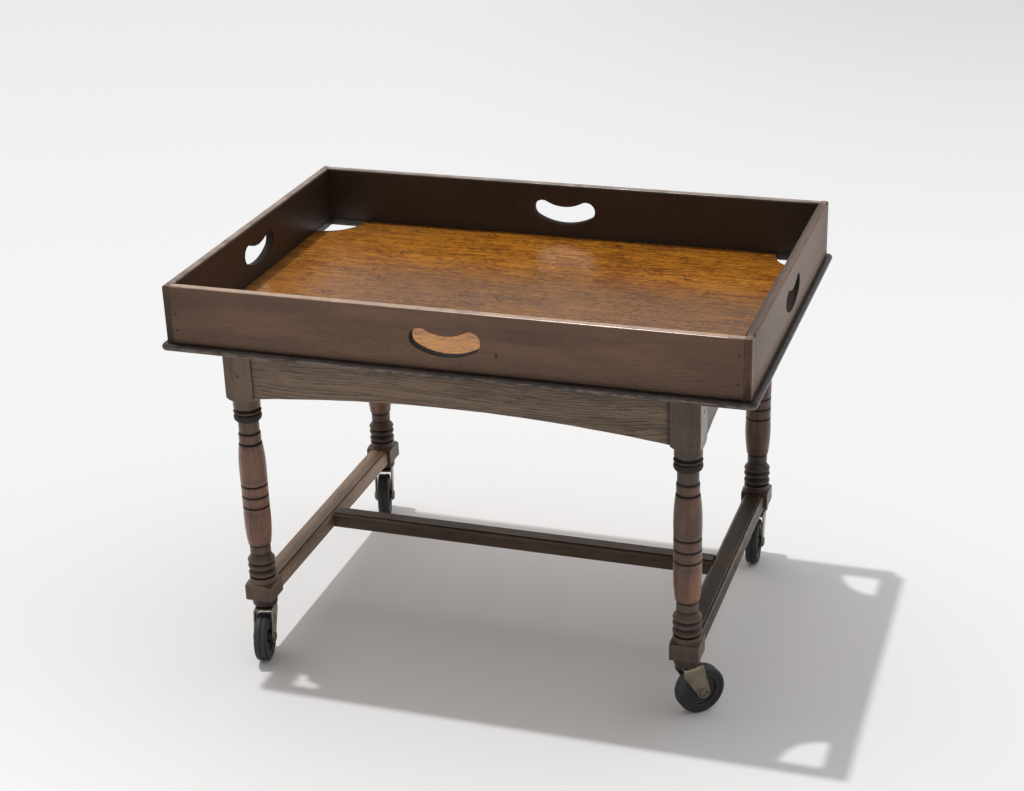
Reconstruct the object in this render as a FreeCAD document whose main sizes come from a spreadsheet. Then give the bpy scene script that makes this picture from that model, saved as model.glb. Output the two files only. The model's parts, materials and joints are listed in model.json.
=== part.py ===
"""Butlers tray table on four swivel castors: a lift-off tray on a turned-leg stand.

Millimetres, +Z up, +X along the tray. The origin lies on the floor under the middle of the tray.
Every driving size is a named cell of the sheet, and every sub-part is tied to those cells.
"""
import FreeCAD, Part
import math
import os
import re
import Sketcher
from collections import namedtuple

# Driving sizes

SIZES = {
    # tray
    "tray_length": 860.0,
    "tray_width": 590.0,
    "wall_thick": 14.0,
    "wall_height": 88.5,
    "wall_round": 3.0,
    "corner_rebate": 3.5,
    "floor_thick": 10.5,
    "floor_lip": 9.0,
    "lip_corner": 10.0,
    "lip_round": 5.0,
    "corner_hole_radius": 64.0,
    # hand hole, a slot bent along an arc
    "grip_width": 30.0,
    "grip_bend": 77.0,
    "grip_half_span": 37.0,
    "grip_height": 36.0,
    # battens under the tray floor and their screws
    "batten_width": 30.0,
    "batten_height": 18.0,
    "batten_gap": 2.0,
    "batten_screw_end": 46.0,
    "screw_radius": 2.2,
    "screw_head_radius": 4.2,
    "screw_head_height": 3.0,
    "batten_screw_bite": 7.0,
    # screws that hold the walls down on the floor board
    "wall_screw_bite": 24.0,
    "long_wall_screw_end": 70.0,
    "short_wall_screw_end": 95.0,
    # stand
    "leg_inset_x": 95.0,
    "leg_inset_y": 45.0,
    "leg_length": 420.5,
    "leg_block": 44.0,
    # turning of a leg, lengths from the foot up to the lower vase
    "foot_block_height": 20.0,
    "pommel_round": 12.0,
    "foot_collar_length": 4.0,
    "foot_ring_low_length": 10.0,
    "foot_ring_mid_length": 8.5,
    "foot_ring_top_length": 14.0,
    "foot_cove_length": 7.0,
    "foot_band_length": 16.0,
    # the waist, and the lower vase's share of what the other lengths leave for the two vases
    "low_vase_share": 0.4876,
    "waist_length": 50.0,
    "waist_groove_pitch": 18.0,
    # turning of a leg, lengths from the head down to the upper vase
    "head_block_height": 71.0,
    "head_shoulder_length": 21.0,
    "head_collar_length": 7.0,
    "head_ring_top_length": 9.5,
    "head_ring_low_length": 12.5,
    "head_cove_length": 5.0,
    "neck_length": 15.0,
    "head_band_length": 17.0,
    # turning of a leg, radii
    "turning_radius": 20.4,
    "ring_radius": 21.2,
    "valley_radius": 18.2,
    "neck_radius": 15.6,
    "foot_band_radius": 16.0,
    "head_band_radius": 16.8,
    "vase_end_radius": 17.7,
    "vase_bow": 320.0,
    "head_shoulder_round": 24.0,
    "foot_cove_round": 9.0,
    "head_cove_round": 6.0,
    "groove_width": 3.2,
    "groove_depth": 1.8,
    # aprons
    "apron_height": 78.0,
    "apron_thick": 20.0,
    "apron_setback": 1.0,
    "arch_rise": 19.0,
    "tenon_thick": 8.0,
    "tenon_shoulder": 10.0,
    "tenon_gap": 1.0,
    "peg_radius": 3.4,
    "peg_length": 18.0,
    "long_peg_drop": 43.0,
    "short_peg_drop": 31.0,
    # stretchers
    "stretcher_height": 24.0,
    "side_stretcher_width": 34.0,
    "centre_stretcher_width": 29.0,
    "stretcher_lift": 1.0,
    "mould_round": 5.0,
    "mould_quirk": 1.6,
    "stretcher_tenon_width": 14.0,
    "stretcher_tenon_height": 13.0,
    "stretcher_tenon_gap": 2.5,
    "centre_tenon_length": 12.0,
    "bolt_radius": 2.5,
    "bolt_head_radius": 4.0,
    "bolt_head_height": 3.0,
    "bolt_sink": 5.0,
    "bolt_length": 46.0,
    # castors
    "castor_height": 99.5,
    "wheel_diameter": 75.0,
    "trail": 21.0,
    "stem_radius": 5.5,
    "stem_length": 42.0,
    "stem_head_radius": 8.0,
    "stem_head_height": 3.0,
    "cup_radius": 20.0,
    "cup_round": 6.0,
    "crown_height": 83.5,
    "crown_back": 12.0,
    "crown_front": 20.0,
    "fork_plate": 2.5,
    "fork_gap": 26.0,
    "fork_bend": 4.0,
    "heel_height": 71.0,
    "toe_reach": 23.0,
    "toe_height": 70.0,
    "boss_radius": 10.0,
    "axle_radius": 5.0,
    "axle_bore": 3.4,
    "flange_radius": 7.5,
    "flange_thick": 2.0,
    "bush_wall": 1.5,
    "hub_radius": 10.5,
    "web_thick": 8.0,
    "rim_radius": 27.0,
    "rim_wall": 3.5,
    "rim_width": 17.0,
    "tyre_width": 20.0,
    "tyre_shoulder": 4.0,
    "tread_groove_width": 3.0,
    "tread_groove_depth": 1.5,
    # running clearances
    "race_gap": 0.3,
    "hub_gap": 0.4,
    "pivot_gap": 0.08,
    # rest angles of the castors, degrees from +X to the trailing wheel
    "turn_front_left": -78.0,
    "turn_front_right": 42.0,
    "turn_back_left": -72.0,
    "turn_back_right": -86.0,
}

# A corner of an outline; the edge that leaves it is an arc where it has a radius.
# bulge is 1 for an arc that swells to the left of the way round and -1 for the right;
# hub gives the arc's centre across, for half circles, whose radius fixes nothing.
Corner = namedtuple("Corner", "across up radius bulge hub", defaults=(None, 0, None))
Ring = namedtuple("Ring", "across up radius")

LEGS = {
    "front_left": (-1, -1),
    "front_right": (1, -1),
    "back_left": (-1, 1),
    "back_right": (1, 1),
}

# Places of screws along a piece, counted in steps from its middle
WALL_STEPS = ("-1.5*", "-0.5*", "0.5*", "1.5*")
BATTEN_STEPS = ("-1*", "0*", "1*")

document = FreeCAD.newDocument("butlers_tray_table")
sheet = document.addObject("Spreadsheet::Sheet", "size")
sub_parts = []


def fill_sheet():
    """Writes each size beside its name and gives the cell that name."""
    for row, (name, value) in enumerate(SIZES.items(), start=1):
        sheet.set(f"A{row}", name)
        sheet.set(f"B{row}", str(value))
        sheet.setAlias(f"B{row}", name)
    document.recompute()


def tied(formula):
    """A formula over the size names, written as the document's expressions name them."""
    def qualify(word):
        return "size." + word.group() if word.group() in SIZES else word.group()
    return re.sub(r"[a-z_]+", qualify, formula)


def number(formula):
    """The number that a formula over the size names gives."""
    return float(sheet.evalExpression(tied(formula)))


def arc_between(start, end, radius, bulge):
    """The lesser arc from start to end that swells to the left (1) or the right (-1)."""
    chord = end - start
    half = chord.Length / 2
    sagitta = radius - math.sqrt(max(radius ** 2 - half ** 2, 0.0))
    left = FreeCAD.Vector(-chord.y, chord.x) / chord.Length
    return Part.Arc(start, (start + end) / 2 + left * sagitta * bulge, end)


def draw_ring(drawn, ring):
    """Adds a circle tied to its centre and radius."""
    centre = FreeCAD.Vector(number(ring.across), number(ring.up))
    edge = drawn.addGeometry(Part.Circle(centre, FreeCAD.Vector(0, 0, 1), number(ring.radius)))
    tie(drawn, "Radius", ring.radius, edge)
    tie_point(drawn, edge, 3, ring.across, ring.up)


def tie(drawn, kind, formula, *where):
    """Adds one constraint whose value follows a formula."""
    index = drawn.addConstraint(Sketcher.Constraint(kind, *where, number(formula)))
    drawn.setExpression(f"Constraints[{index}]", tied(formula))


def tie_point(drawn, edge, end, across, up):
    """Holds one point of an edge at a place given by two formulas."""
    for kind, formula, axis in (("DistanceX", across, -2), ("DistanceY", up, -1)):
        if formula == "0":
            drawn.addConstraint(Sketcher.Constraint("PointOnObject", edge, end, axis))
        else:
            tie(drawn, kind, formula, -1, 1, edge, end)


def draw_loop(drawn, corners):
    """Adds a closed outline of lines and arcs, each corner tied to its two formulas."""
    spots = [FreeCAD.Vector(number(corner.across), number(corner.up)) for corner in corners]
    ends = []
    for index, corner in enumerate(corners):
        start = spots[index]
        end = spots[(index + 1) % len(spots)]
        if corner.radius is None:
            edge = drawn.addGeometry(Part.LineSegment(start, end))
        else:
            edge = drawn.addGeometry(arc_between(start, end, number(corner.radius), corner.bulge))
        first = 1 if drawn.getPoint(edge, 1).distanceToPoint(start) < 1e-6 else 2
        ends.append((edge, first, 3 - first))
    for index, corner in enumerate(corners):
        edge, first, last = ends[index]
        next_edge, next_first, _ = ends[(index + 1) % len(ends)]
        drawn.addConstraint(Sketcher.Constraint("Coincident", edge, last, next_edge, next_first))
    for (edge, first, _), corner in zip(ends, corners):
        tie_point(drawn, edge, first, corner.across, corner.up)
        if corner.hub is not None:
            tie(drawn, "DistanceX", corner.hub, -1, 1, edge, 3)
        elif corner.radius is not None:
            tie(drawn, "Radius", corner.radius, edge)


def rectangle(left, right, low, high):
    """Corners of a rectangle."""
    return [Corner(left, low), Corner(right, low), Corner(right, high), Corner(left, high)]


class Piece:
    """One sub-part: a body with its own label and place, and the features that shape it."""

    def __init__(self, name, across="0", along="0", up="0", turn="0"):
        self.body = document.addObject("PartDesign::Body", name)
        self.body.Label = name
        place = {"Base.x": across, "Base.y": along, "Base.z": up, "Rotation.Angle": turn}
        for item, formula in place.items():
            self.body.setExpression("Placement." + item, tied(formula))
        sub_parts.append(self.body)

    def feature(self, kind):
        """A new feature at the end of the body."""
        return self.body.newObject(kind, self.body.Name + "_feature")

    def sketch(self, plane, loops, lift="0"):
        """A sketch on one of the body's own planes, moved along the plane's normal by lift."""
        drawn = self.feature("Sketcher::SketchObject")
        support = next(item for item in self.body.Origin.OriginFeatures if item.Role == plane)
        drawn.AttachmentSupport = [(support, "")]
        drawn.MapMode = "FlatFace"
        drawn.setExpression("AttachmentOffset.Base.z", tied(lift))
        for loop in loops:
            if isinstance(loop, Ring):
                draw_ring(drawn, loop)
            else:
                draw_loop(drawn, loop)
        return drawn

    def pad(self, plane, loops, length, lift="0", both_ways=False):
        """Adds the outline's prism, along the normal or centred on the plane."""
        profile = self.sketch(plane, loops, lift)
        feature = self.feature("PartDesign::Pad")
        feature.Profile = profile
        feature.SideType = "Symmetric" if both_ways else "One side"
        feature.setExpression("Length", tied(length))
        return feature

    def pocket(self, plane, loops, length=None, lift="0", both_ways=False):
        """Cuts the outline's prism, along the normal or both ways, right through without a length."""
        profile = self.sketch(plane, loops, lift)
        feature = self.feature("PartDesign::Pocket")
        feature.Profile = profile
        feature.SideType = "Symmetric" if both_ways else "One side"
        feature.Reversed = True
        if length is None:
            feature.Type = "ThroughAll"
        else:
            feature.setExpression("Length", tied(length))
        return feature

    def revolve(self, plane, corners):
        """Turns an outline about the upright axis of its plane."""
        profile = self.sketch(plane, [corners])
        feature = self.feature("PartDesign::Revolution")
        feature.Profile = profile
        feature.ReferenceAxis = (profile, ["V_Axis"])
        return feature

    def fillet(self, base, radius, wanted):
        """Rounds the edges of the base feature that pass a test."""
        document.recompute()
        names = [f"Edge{place}" for place, edge in enumerate(base.Shape.Edges, start=1) if wanted(edge)]
        feature = self.feature("PartDesign::Fillet")
        feature.Base = (base, names)
        feature.setExpression("Radius", tied(radius))
        return feature


# Formulas that several pieces share

BASE_TOP = "castor_height + leg_length"
FLOOR_TOP = f"{BASE_TOP} + floor_thick"
LEG_X = "(tray_length/2 - leg_inset_x)"
LEG_Y = "(tray_width/2 - leg_inset_y)"
APRON_LINE_X = f"{LEG_X} + leg_block/2 - apron_setback - apron_thick/2"
APRON_LINE_Y = f"{LEG_Y} + leg_block/2 - apron_setback - apron_thick/2"
APRON_OFFSET = "(leg_block/2 - apron_setback - apron_thick/2)"
APRON_TENON = f"(leg_block/2 + {APRON_OFFSET} - tenon_thick/2 - tenon_gap)"
LONG_APRON = f"(2*{LEG_X} - leg_block)"
SHORT_APRON = f"(2*{LEG_Y} - leg_block)"
STRETCHER_TENON = "(leg_block/2 - stem_radius - stretcher_tenon_gap)"
TENON_LOW = "(stretcher_height - stretcher_tenon_height)/2"
CENTRE_SPAN = f"(2*{LEG_X} - side_stretcher_width)"
BATTEN_LENGTH = f"({SHORT_APRON} - 2*batten_gap)"
BATTEN_LINE = f"({APRON_LINE_X} - apron_thick/2 - batten_gap - batten_width/2)"
BATTEN_SCREW_STEP = f"(({BATTEN_LENGTH} - 2*batten_screw_end)/2)"
LONG_SCREW_STEP = "((tray_length - 2*long_wall_screw_end)/3)"
SHORT_SCREW_STEP = "((tray_width - 2*short_wall_screw_end)/3)"
LONG_WALL = "(tray_length - 2*wall_thick + 2*corner_rebate)"
WALL_LINE_X = "(tray_length/2 - wall_thick/2)"
WALL_LINE_Y = "(tray_width/2 - wall_thick/2)"
WHEEL_RADIUS = "(wheel_diameter/2)"
CROWN_UNDER = "(crown_height - fork_plate)"
CUP_UNDER = "(crown_height + race_gap)"
HUB_HALF = "(fork_gap/2 - hub_gap)"


def signed(sign, formula):
    """The formula on one side of the middle."""
    return formula if sign > 0 else f"-({formula})"


def ladder(start, step_sign, steps):
    """Height at the end of each named step, counted from start."""
    heights = {}
    height = start
    for step in steps:
        height = f"{height} {step_sign} {step}"
        heights[step] = f"({height})"
    return heights


# Legs

def bead_radius(length):
    """Radius of a bead of this length that swells from the valleys to the ring radius."""
    rise = "(ring_radius - valley_radius)"
    return f"(({length}/2)^2 + {rise}^2)/(2*{rise})"


def bead(height, length):
    """Corner that starts a bead."""
    return Corner("valley_radius", height, bead_radius(length), -1)


def groove(height, radius_below, radius_above):
    """Three corners of a V groove between two stretches of a turning."""
    depth = f"{radius_below} - groove_depth" if radius_below == radius_above else "neck_radius - groove_depth"
    return [
        Corner(radius_below, f"{height} - groove_width/2"),
        Corner(depth, height),
        Corner(radius_above, f"{height} + groove_width/2"),
    ]


def leg_outline():
    """Half outline of a turned leg, from the foot to the head; blocks are squared afterwards."""
    up = ladder("0", "+", [
        "foot_block_height", "pommel_round", "foot_collar_length", "foot_ring_low_length",
        "foot_ring_mid_length", "foot_ring_top_length", "foot_cove_length", "foot_band_length"])
    down = ladder("leg_length", "-", [
        "head_block_height", "head_shoulder_length", "head_collar_length", "head_ring_top_length",
        "head_ring_low_length", "head_cove_length", "neck_length", "head_band_length"])
    blank = "turning_radius + pommel_round"
    vase_room = f"({down['head_band_length']} - {up['foot_band_length']} - waist_length)"
    waist_low = f"({up['foot_band_length']} + low_vase_share*{vase_room})"
    waist_middle = f"({waist_low} + waist_length/2)"
    corners = [
        Corner("0", "0"),
        Corner(blank, "0"),
        Corner(blank, up["foot_block_height"], "pommel_round", -1),
        Corner("turning_radius", up["pommel_round"]),
        Corner("valley_radius", up["pommel_round"]),
        bead(up["foot_collar_length"], "foot_ring_low_length"),
        bead(up["foot_ring_low_length"], "foot_ring_mid_length"),
        bead(up["foot_ring_mid_length"], "foot_ring_top_length"),
        Corner("valley_radius", up["foot_ring_top_length"], "foot_cove_round", 1),
        Corner("neck_radius - groove_depth", up["foot_cove_length"]),
        Corner("foot_band_radius", f"{up['foot_cove_length']} + groove_width/2"),
    ]
    corners += groove(up["foot_band_length"], "foot_band_radius", "vase_end_radius")[:2]
    corners.append(Corner("vase_end_radius", f"{up['foot_band_length']} + groove_width/2", "vase_bow", -1))
    corners.append(Corner("turning_radius", waist_low))
    for place in ("-", "+ 0*", "+"):
        corners += groove(f"({waist_middle} {place} waist_groove_pitch)", "turning_radius", "turning_radius")
    corners.append(Corner("turning_radius", f"({waist_low} + waist_length)", "vase_bow", -1))
    corners += groove(down["head_band_length"], "vase_end_radius", "head_band_radius")
    corners += groove(down["neck_length"], "head_band_radius", "neck_radius")
    corners += [
        Corner("neck_radius", down["head_cove_length"], "head_cove_round", 1),
        bead(down["head_ring_low_length"], "head_ring_low_length"),
        bead(down["head_ring_top_length"], "head_ring_top_length"),
        Corner("valley_radius", down["head_collar_length"]),
        Corner("turning_radius", down["head_collar_length"]),
        Corner("turning_radius", down["head_shoulder_length"], "head_shoulder_round", -1),
        Corner(blank, down["head_block_height"]),
        Corner(blank, "leg_length"),
        Corner("0", "leg_length"),
    ]
    return corners


def make_leg(place):
    """A leg turned from a square, with mortises, peg holes and the bore for the castor stem."""
    side, face = LEGS[place]
    leg = Piece(f"leg_{place}", signed(side, LEG_X), signed(face, LEG_Y), "castor_height")
    leg.revolve("XZ_Plane", leg_outline())
    outside = "(turning_radius + pommel_round + 1)"
    square = rectangle("-leg_block/2", "leg_block/2", "-leg_block/2", "leg_block/2")
    waste = rectangle("-" + outside, outside, "-" + outside, outside)
    leg.pocket("XY_Plane", [waste, square])
    mortise_low = "leg_length - apron_height + tenon_shoulder"
    mortise_height = "apron_height - 2*tenon_shoulder"
    inner = "leg_block/2"
    tip = f"(leg_block/2 - {APRON_TENON})"
    near = f"({APRON_OFFSET} - tenon_thick/2)"
    far = f"({APRON_OFFSET} + tenon_thick/2)"
    span_x = (signed(-side, inner), signed(-side, tip))
    span_y = (signed(-face, inner), signed(-face, tip))
    long_slot = rectangle(*span_x, signed(face, near), signed(face, far))
    short_slot = rectangle(signed(side, near), signed(side, far), *span_y)
    for slot in (long_slot, short_slot):
        leg.pocket("XY_Plane", [slot], mortise_height, mortise_low)
    foot_tip = f"(leg_block/2 - {STRETCHER_TENON})"
    foot_span = (signed(-face, inner), signed(-face, foot_tip))
    foot_sides = ("-stretcher_tenon_width/2", "stretcher_tenon_width/2")
    foot_slot = rectangle(*foot_sides, *foot_span)
    leg.pocket("XY_Plane", [foot_slot], "stretcher_tenon_height", f"stretcher_lift + {TENON_LOW}")
    leg.pocket("XY_Plane", [Ring("0", "0", "stem_radius")], "stem_length")
    peg_middle = "(leg_block/2 - peg_length/2)"
    long_peg = Ring("0", "leg_length - long_peg_drop", "peg_radius")
    short_peg = Ring("0", "leg_length - short_peg_drop", "peg_radius")
    leg.pocket("XZ_Plane", [long_peg], "peg_length", signed(-face, peg_middle), both_ways=True)
    leg.pocket("YZ_Plane", [short_peg], "peg_length", signed(side, peg_middle), both_ways=True)


# Stand rails

def make_apron(name, across, along, turn, length, peg_drop):
    """An apron with an arched underside, and a tenon bored for a peg at each end."""
    apron = Piece(name, across, along, f"{BASE_TOP} - apron_height", turn)
    half = f"({length}/2)"
    arch = f"({half}^2 + arch_rise^2)/(2*arch_rise)"
    outline = [
        Corner("-" + half, "0", arch, 1),
        Corner(half, "0"),
        Corner(half, "apron_height"),
        Corner("-" + half, "apron_height"),
    ]
    apron.pad("XZ_Plane", [outline], "apron_thick", both_ways=True)
    tenons = []
    pegs = []
    for end in (-1, 1):
        root = signed(end, f"({half} - tenon_shoulder)")
        tip = signed(end, f"({half} + {APRON_TENON})")
        tenons.append(rectangle(root, tip, "tenon_shoulder", "apron_height - tenon_shoulder"))
        pegs.append(Ring(signed(end, f"({half} + leg_block/2)"), f"apron_height - {peg_drop}", "peg_radius"))
    apron.pad("XZ_Plane", tenons, "tenon_thick", both_ways=True)
    apron.pocket("XZ_Plane", pegs, both_ways=True)


def stretcher_section(width):
    """Cross section of a stretcher, moulded along both upper arrises with a quirk and a quarter round."""
    half = f"({width}/2)"
    shelf = f"({half} - mould_round)"
    ledge = "(stretcher_height - mould_quirk)"
    return [
        Corner("-" + half, "0"),
        Corner(half, "0"),
        Corner(half, f"{ledge} - mould_round", "mould_round", -1),
        Corner(shelf, ledge),
        Corner(shelf, "stretcher_height"),
        Corner("-" + shelf, "stretcher_height"),
        Corner("-" + shelf, ledge, "mould_round", -1),
        Corner("-" + half, f"{ledge} - mould_round"),
    ]


def add_stretcher_tenons(stretcher, length, tenon):
    """A tenon on each end of a stretcher."""
    blocks = []
    for end in (-1, 1):
        root = signed(end, f"({length}/2 - {tenon})")
        tip = signed(end, f"({length}/2 + {tenon})")
        blocks.append(rectangle(root, tip, TENON_LOW, f"{TENON_LOW} + stretcher_tenon_height"))
    stretcher.pad("XZ_Plane", blocks, "stretcher_tenon_width", both_ways=True)


def make_side_stretcher(name, side):
    """A stretcher between the foot blocks of one end, mortised and bored for the centre stretcher."""
    lift = "castor_height + stretcher_lift"
    stretcher = Piece(name, signed(side, LEG_X), "0", lift, "90")
    stretcher.pad("YZ_Plane", [stretcher_section("side_stretcher_width")], SHORT_APRON, both_ways=True)
    add_stretcher_tenons(stretcher, SHORT_APRON, STRETCHER_TENON)
    inner = "side_stretcher_width/2"
    tip = "(side_stretcher_width/2 - centre_tenon_length)"
    slot_half = "stretcher_tenon_width/2"
    slot = rectangle("-" + slot_half, slot_half, signed(side, inner), signed(side, tip))
    stretcher.pocket("XY_Plane", [slot], "stretcher_tenon_height", TENON_LOW)
    hole = Ring("0", "stretcher_height/2", "bolt_radius")
    sink = Ring("0", "stretcher_height/2", "bolt_head_radius")
    stretcher.pocket("XZ_Plane", [hole], both_ways=True)
    sink_depth = "(bolt_sink + bolt_head_height)"
    sink_middle = f"(side_stretcher_width/2 - {sink_depth}/2)"
    stretcher.pocket("XZ_Plane", [sink], sink_depth, signed(side, sink_middle), both_ways=True)


def make_centre_stretcher():
    """The long stretcher between the two side stretchers, bored at each end for its bolt."""
    stretcher = Piece("centre_stretcher", up="castor_height + stretcher_lift")
    stretcher.pad("YZ_Plane", [stretcher_section("centre_stretcher_width")], CENTRE_SPAN, both_ways=True)
    add_stretcher_tenons(stretcher, CENTRE_SPAN, "centre_tenon_length")
    reach = "(bolt_length - side_stretcher_width + bolt_sink + bolt_head_height + centre_tenon_length)"
    for side in (-1, 1):
        middle = signed(side, f"({CENTRE_SPAN}/2 + centre_tenon_length - {reach}/2)")
        hole = Ring("0", "stretcher_height/2", "bolt_radius")
        stretcher.pocket("YZ_Plane", [hole], reach, middle, both_ways=True)


# Tray

def make_floor():
    """The tray's floor board, with a rounded lip, a round hole in each inner corner and screw holes."""
    board = Piece("tray_floor", up=BASE_TOP)
    half_x = "(tray_length/2 + floor_lip)"
    half_y = "(tray_width/2 + floor_lip)"
    in_x = f"({half_x} - lip_corner)"
    in_y = f"({half_y} - lip_corner)"
    outline = [
        Corner("-" + in_x, "-" + half_y),
        Corner(in_x, "-" + half_y, "lip_corner", -1),
        Corner(half_x, "-" + in_y),
        Corner(half_x, in_y, "lip_corner", -1),
        Corner(in_x, half_y),
        Corner("-" + in_x, half_y, "lip_corner", -1),
        Corner("-" + half_x, in_y),
        Corner("-" + half_x, "-" + in_y, "lip_corner", -1),
    ]
    slab = board.pad("XY_Plane", [outline], "floor_thick")
    board.fillet(slab, "lip_round", lambda edge: edge.BoundBox.ZLength < 1e-6)
    corner_x = "(tray_length/2 - wall_thick)"
    corner_y = "(tray_width/2 - wall_thick)"
    holes = []
    for side, face in LEGS.values():
        start = Corner(signed(side, f"({corner_x} - corner_hole_radius)"), signed(face, corner_y),
                       "corner_hole_radius", -side * face)
        end = Corner(signed(side, corner_x), signed(face, f"({corner_y} - corner_hole_radius)"))
        holes.append([start, end, Corner(signed(side, corner_x), signed(face, corner_y))])
    board.pocket("XY_Plane", holes)
    places = wall_screw_places()
    board.pocket("XY_Plane", [Ring(across, along, "screw_radius") for across, along in places])
    heads = [Ring(across, along, "screw_head_radius") for across, along in places]
    board.pocket("XY_Plane", heads, "screw_head_height")
    pilots = [Ring(across, along, "screw_radius") for across, along in batten_screw_places()]
    board.pocket("XY_Plane", pilots, "batten_screw_bite")


def wall_screw_places():
    """Where screws come up through the floor board into the walls."""
    places = []
    for face in (-1, 1):
        for step in WALL_STEPS:
            places.append((step + LONG_SCREW_STEP, signed(face, WALL_LINE_Y)))
    for side in (-1, 1):
        for step in WALL_STEPS:
            places.append((signed(side, WALL_LINE_X), step + SHORT_SCREW_STEP))
    return places


def batten_screw_places():
    """Where screws go up through the battens into the floor board."""
    return [(signed(side, BATTEN_LINE), step + BATTEN_SCREW_STEP)
            for side in (-1, 1) for step in BATTEN_STEPS]


def wall_section():
    """Cross section of a tray wall with its top arrises rounded over."""
    half = "(wall_thick/2)"
    inset = f"({half} - wall_round)"
    return [
        Corner("-" + half, "0"),
        Corner(half, "0"),
        Corner(half, "wall_height - wall_round", "wall_round", -1),
        Corner(inset, "wall_height"),
        Corner("-" + inset, "wall_height", "wall_round", -1),
        Corner("-" + half, "wall_height - wall_round"),
    ]


def grip_outline():
    """The hand hole: a slot of even width with round ends, bent along an arc whose centre lies above it."""
    drop = "sqrt(grip_bend^2 - grip_half_span^2)/grip_bend"
    middle = "(grip_height + grip_bend)"
    low = "(grip_bend + grip_width/2)"
    high = "(grip_bend - grip_width/2)"
    swing = "(grip_half_span/grip_bend)"
    return [
        Corner(f"-{swing}*{low}", f"{middle} - {low}*{drop}", low, -1),
        Corner(f"{swing}*{low}", f"{middle} - {low}*{drop}", "grip_width/2", -1, "grip_half_span"),
        Corner(f"{swing}*{high}", f"{middle} - {high}*{drop}", high, 1),
        Corner(f"-{swing}*{high}", f"{middle} - {high}*{drop}", "grip_width/2", -1, "-grip_half_span"),
    ]


def make_wall(name, across, along, turn, length):
    """A tray wall with its hand hole."""
    wall = Piece(name, across, along, FLOOR_TOP, turn)
    wall.pad("YZ_Plane", [wall_section()], length, both_ways=True)
    wall.pocket("XZ_Plane", [grip_outline()], both_ways=True)
    return wall


def make_long_wall(name, face):
    """The front or the back wall, whose ends sit in the side walls' rebates."""
    wall = make_wall(name, "0", signed(face, WALL_LINE_Y), "0", LONG_WALL)
    pilots = [Ring(step + LONG_SCREW_STEP, "0", "screw_radius") for step in WALL_STEPS]
    wall.pocket("XY_Plane", pilots, "wall_screw_bite")


def make_short_wall(name, side):
    """The left or the right wall, rebated at both ends on the inside."""
    wall = make_wall(name, signed(side, WALL_LINE_X), "0", "90", "tray_width")
    rebates = []
    for end in (-1, 1):
        tip = signed(end, "(tray_width/2)")
        root = signed(end, "(tray_width/2 - wall_thick)")
        rebates.append(rectangle(root, tip, signed(side, "(wall_thick/2 - corner_rebate)"),
                                 signed(side, "(wall_thick/2)")))
    wall.pocket("XY_Plane", rebates)
    pilots = [Ring(step + SHORT_SCREW_STEP, "0", "screw_radius") for step in WALL_STEPS]
    wall.pocket("XY_Plane", pilots, "wall_screw_bite")


def make_batten(name, side):
    """A batten under the tray floor that drops inside the stand and keeps the tray in place."""
    batten = Piece(name, signed(side, BATTEN_LINE), "0", f"{BASE_TOP} - batten_height", "90")
    half = f"{BATTEN_LENGTH}/2"
    outline = rectangle("-" + half, half, "-batten_width/2", "batten_width/2")
    batten.pad("XY_Plane", [outline], "batten_height")
    holes = [Ring(step + BATTEN_SCREW_STEP, "0", "screw_radius") for step in BATTEN_STEPS]
    batten.pocket("XY_Plane", holes)
    heads = [Ring(step + BATTEN_SCREW_STEP, "0", "screw_head_radius") for step in BATTEN_STEPS]
    batten.pocket("XY_Plane", heads, "screw_head_height")


# Fasteners

def rod(name, radius, length, place, axis):
    """A plain cylinder that starts at a place and runs along an axis."""
    solid = document.addObject("Part::Cylinder", name)
    solid.setExpression("Radius", tied(radius))
    solid.setExpression("Height", tied(length))
    turns = {"x": FreeCAD.Rotation(FreeCAD.Vector(0, 1, 0), 90),
             "-x": FreeCAD.Rotation(FreeCAD.Vector(0, 1, 0), -90),
             "y": FreeCAD.Rotation(FreeCAD.Vector(1, 0, 0), -90),
             "-y": FreeCAD.Rotation(FreeCAD.Vector(1, 0, 0), 90),
             "z": FreeCAD.Rotation()}
    solid.Placement = FreeCAD.Placement(FreeCAD.Vector(), turns[axis])
    for letter, formula in zip("xyz", place):
        solid.setExpression("Placement.Base." + letter, tied(formula))
    return solid


def screw(name, place, axis, radius, head_radius, head_height, length):
    """A screw whose head starts at a place, with its shank along an axis."""
    shank = rod(name + "_shank", radius, length, place, axis)
    head = rod(name + "_head", head_radius, head_height, place, axis)
    whole = document.addObject("Part::Fuse", name)
    whole.Base = shank
    whole.Tool = head
    return whole


def cluster(name, solids):
    """Like fasteners as one sub-part, a group of separate solids."""
    group = document.addObject("Part::Compound", name)
    group.Label = name
    group.Links = solids
    sub_parts.append(group)


def make_pegs():
    """Two pegs in each leg, through the tenons of its two aprons."""
    pegs = []
    for place, (side, face) in LEGS.items():
        outer_x = signed(side, f"({LEG_X} + leg_block/2)")
        outer_y = signed(face, f"({LEG_Y} + leg_block/2)")
        long_spot = (signed(side, LEG_X), outer_y, f"{BASE_TOP} - long_peg_drop")
        short_spot = (outer_x, signed(face, LEG_Y), f"{BASE_TOP} - short_peg_drop")
        long_axis = "y" if face < 0 else "-y"
        short_axis = "x" if side < 0 else "-x"
        pegs.append(rod(f"long_peg_{place}", "peg_radius", "peg_length", long_spot, long_axis))
        pegs.append(rod(f"short_peg_{place}", "peg_radius", "peg_length", short_spot, short_axis))
    cluster("apron_pegs", pegs)


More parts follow.
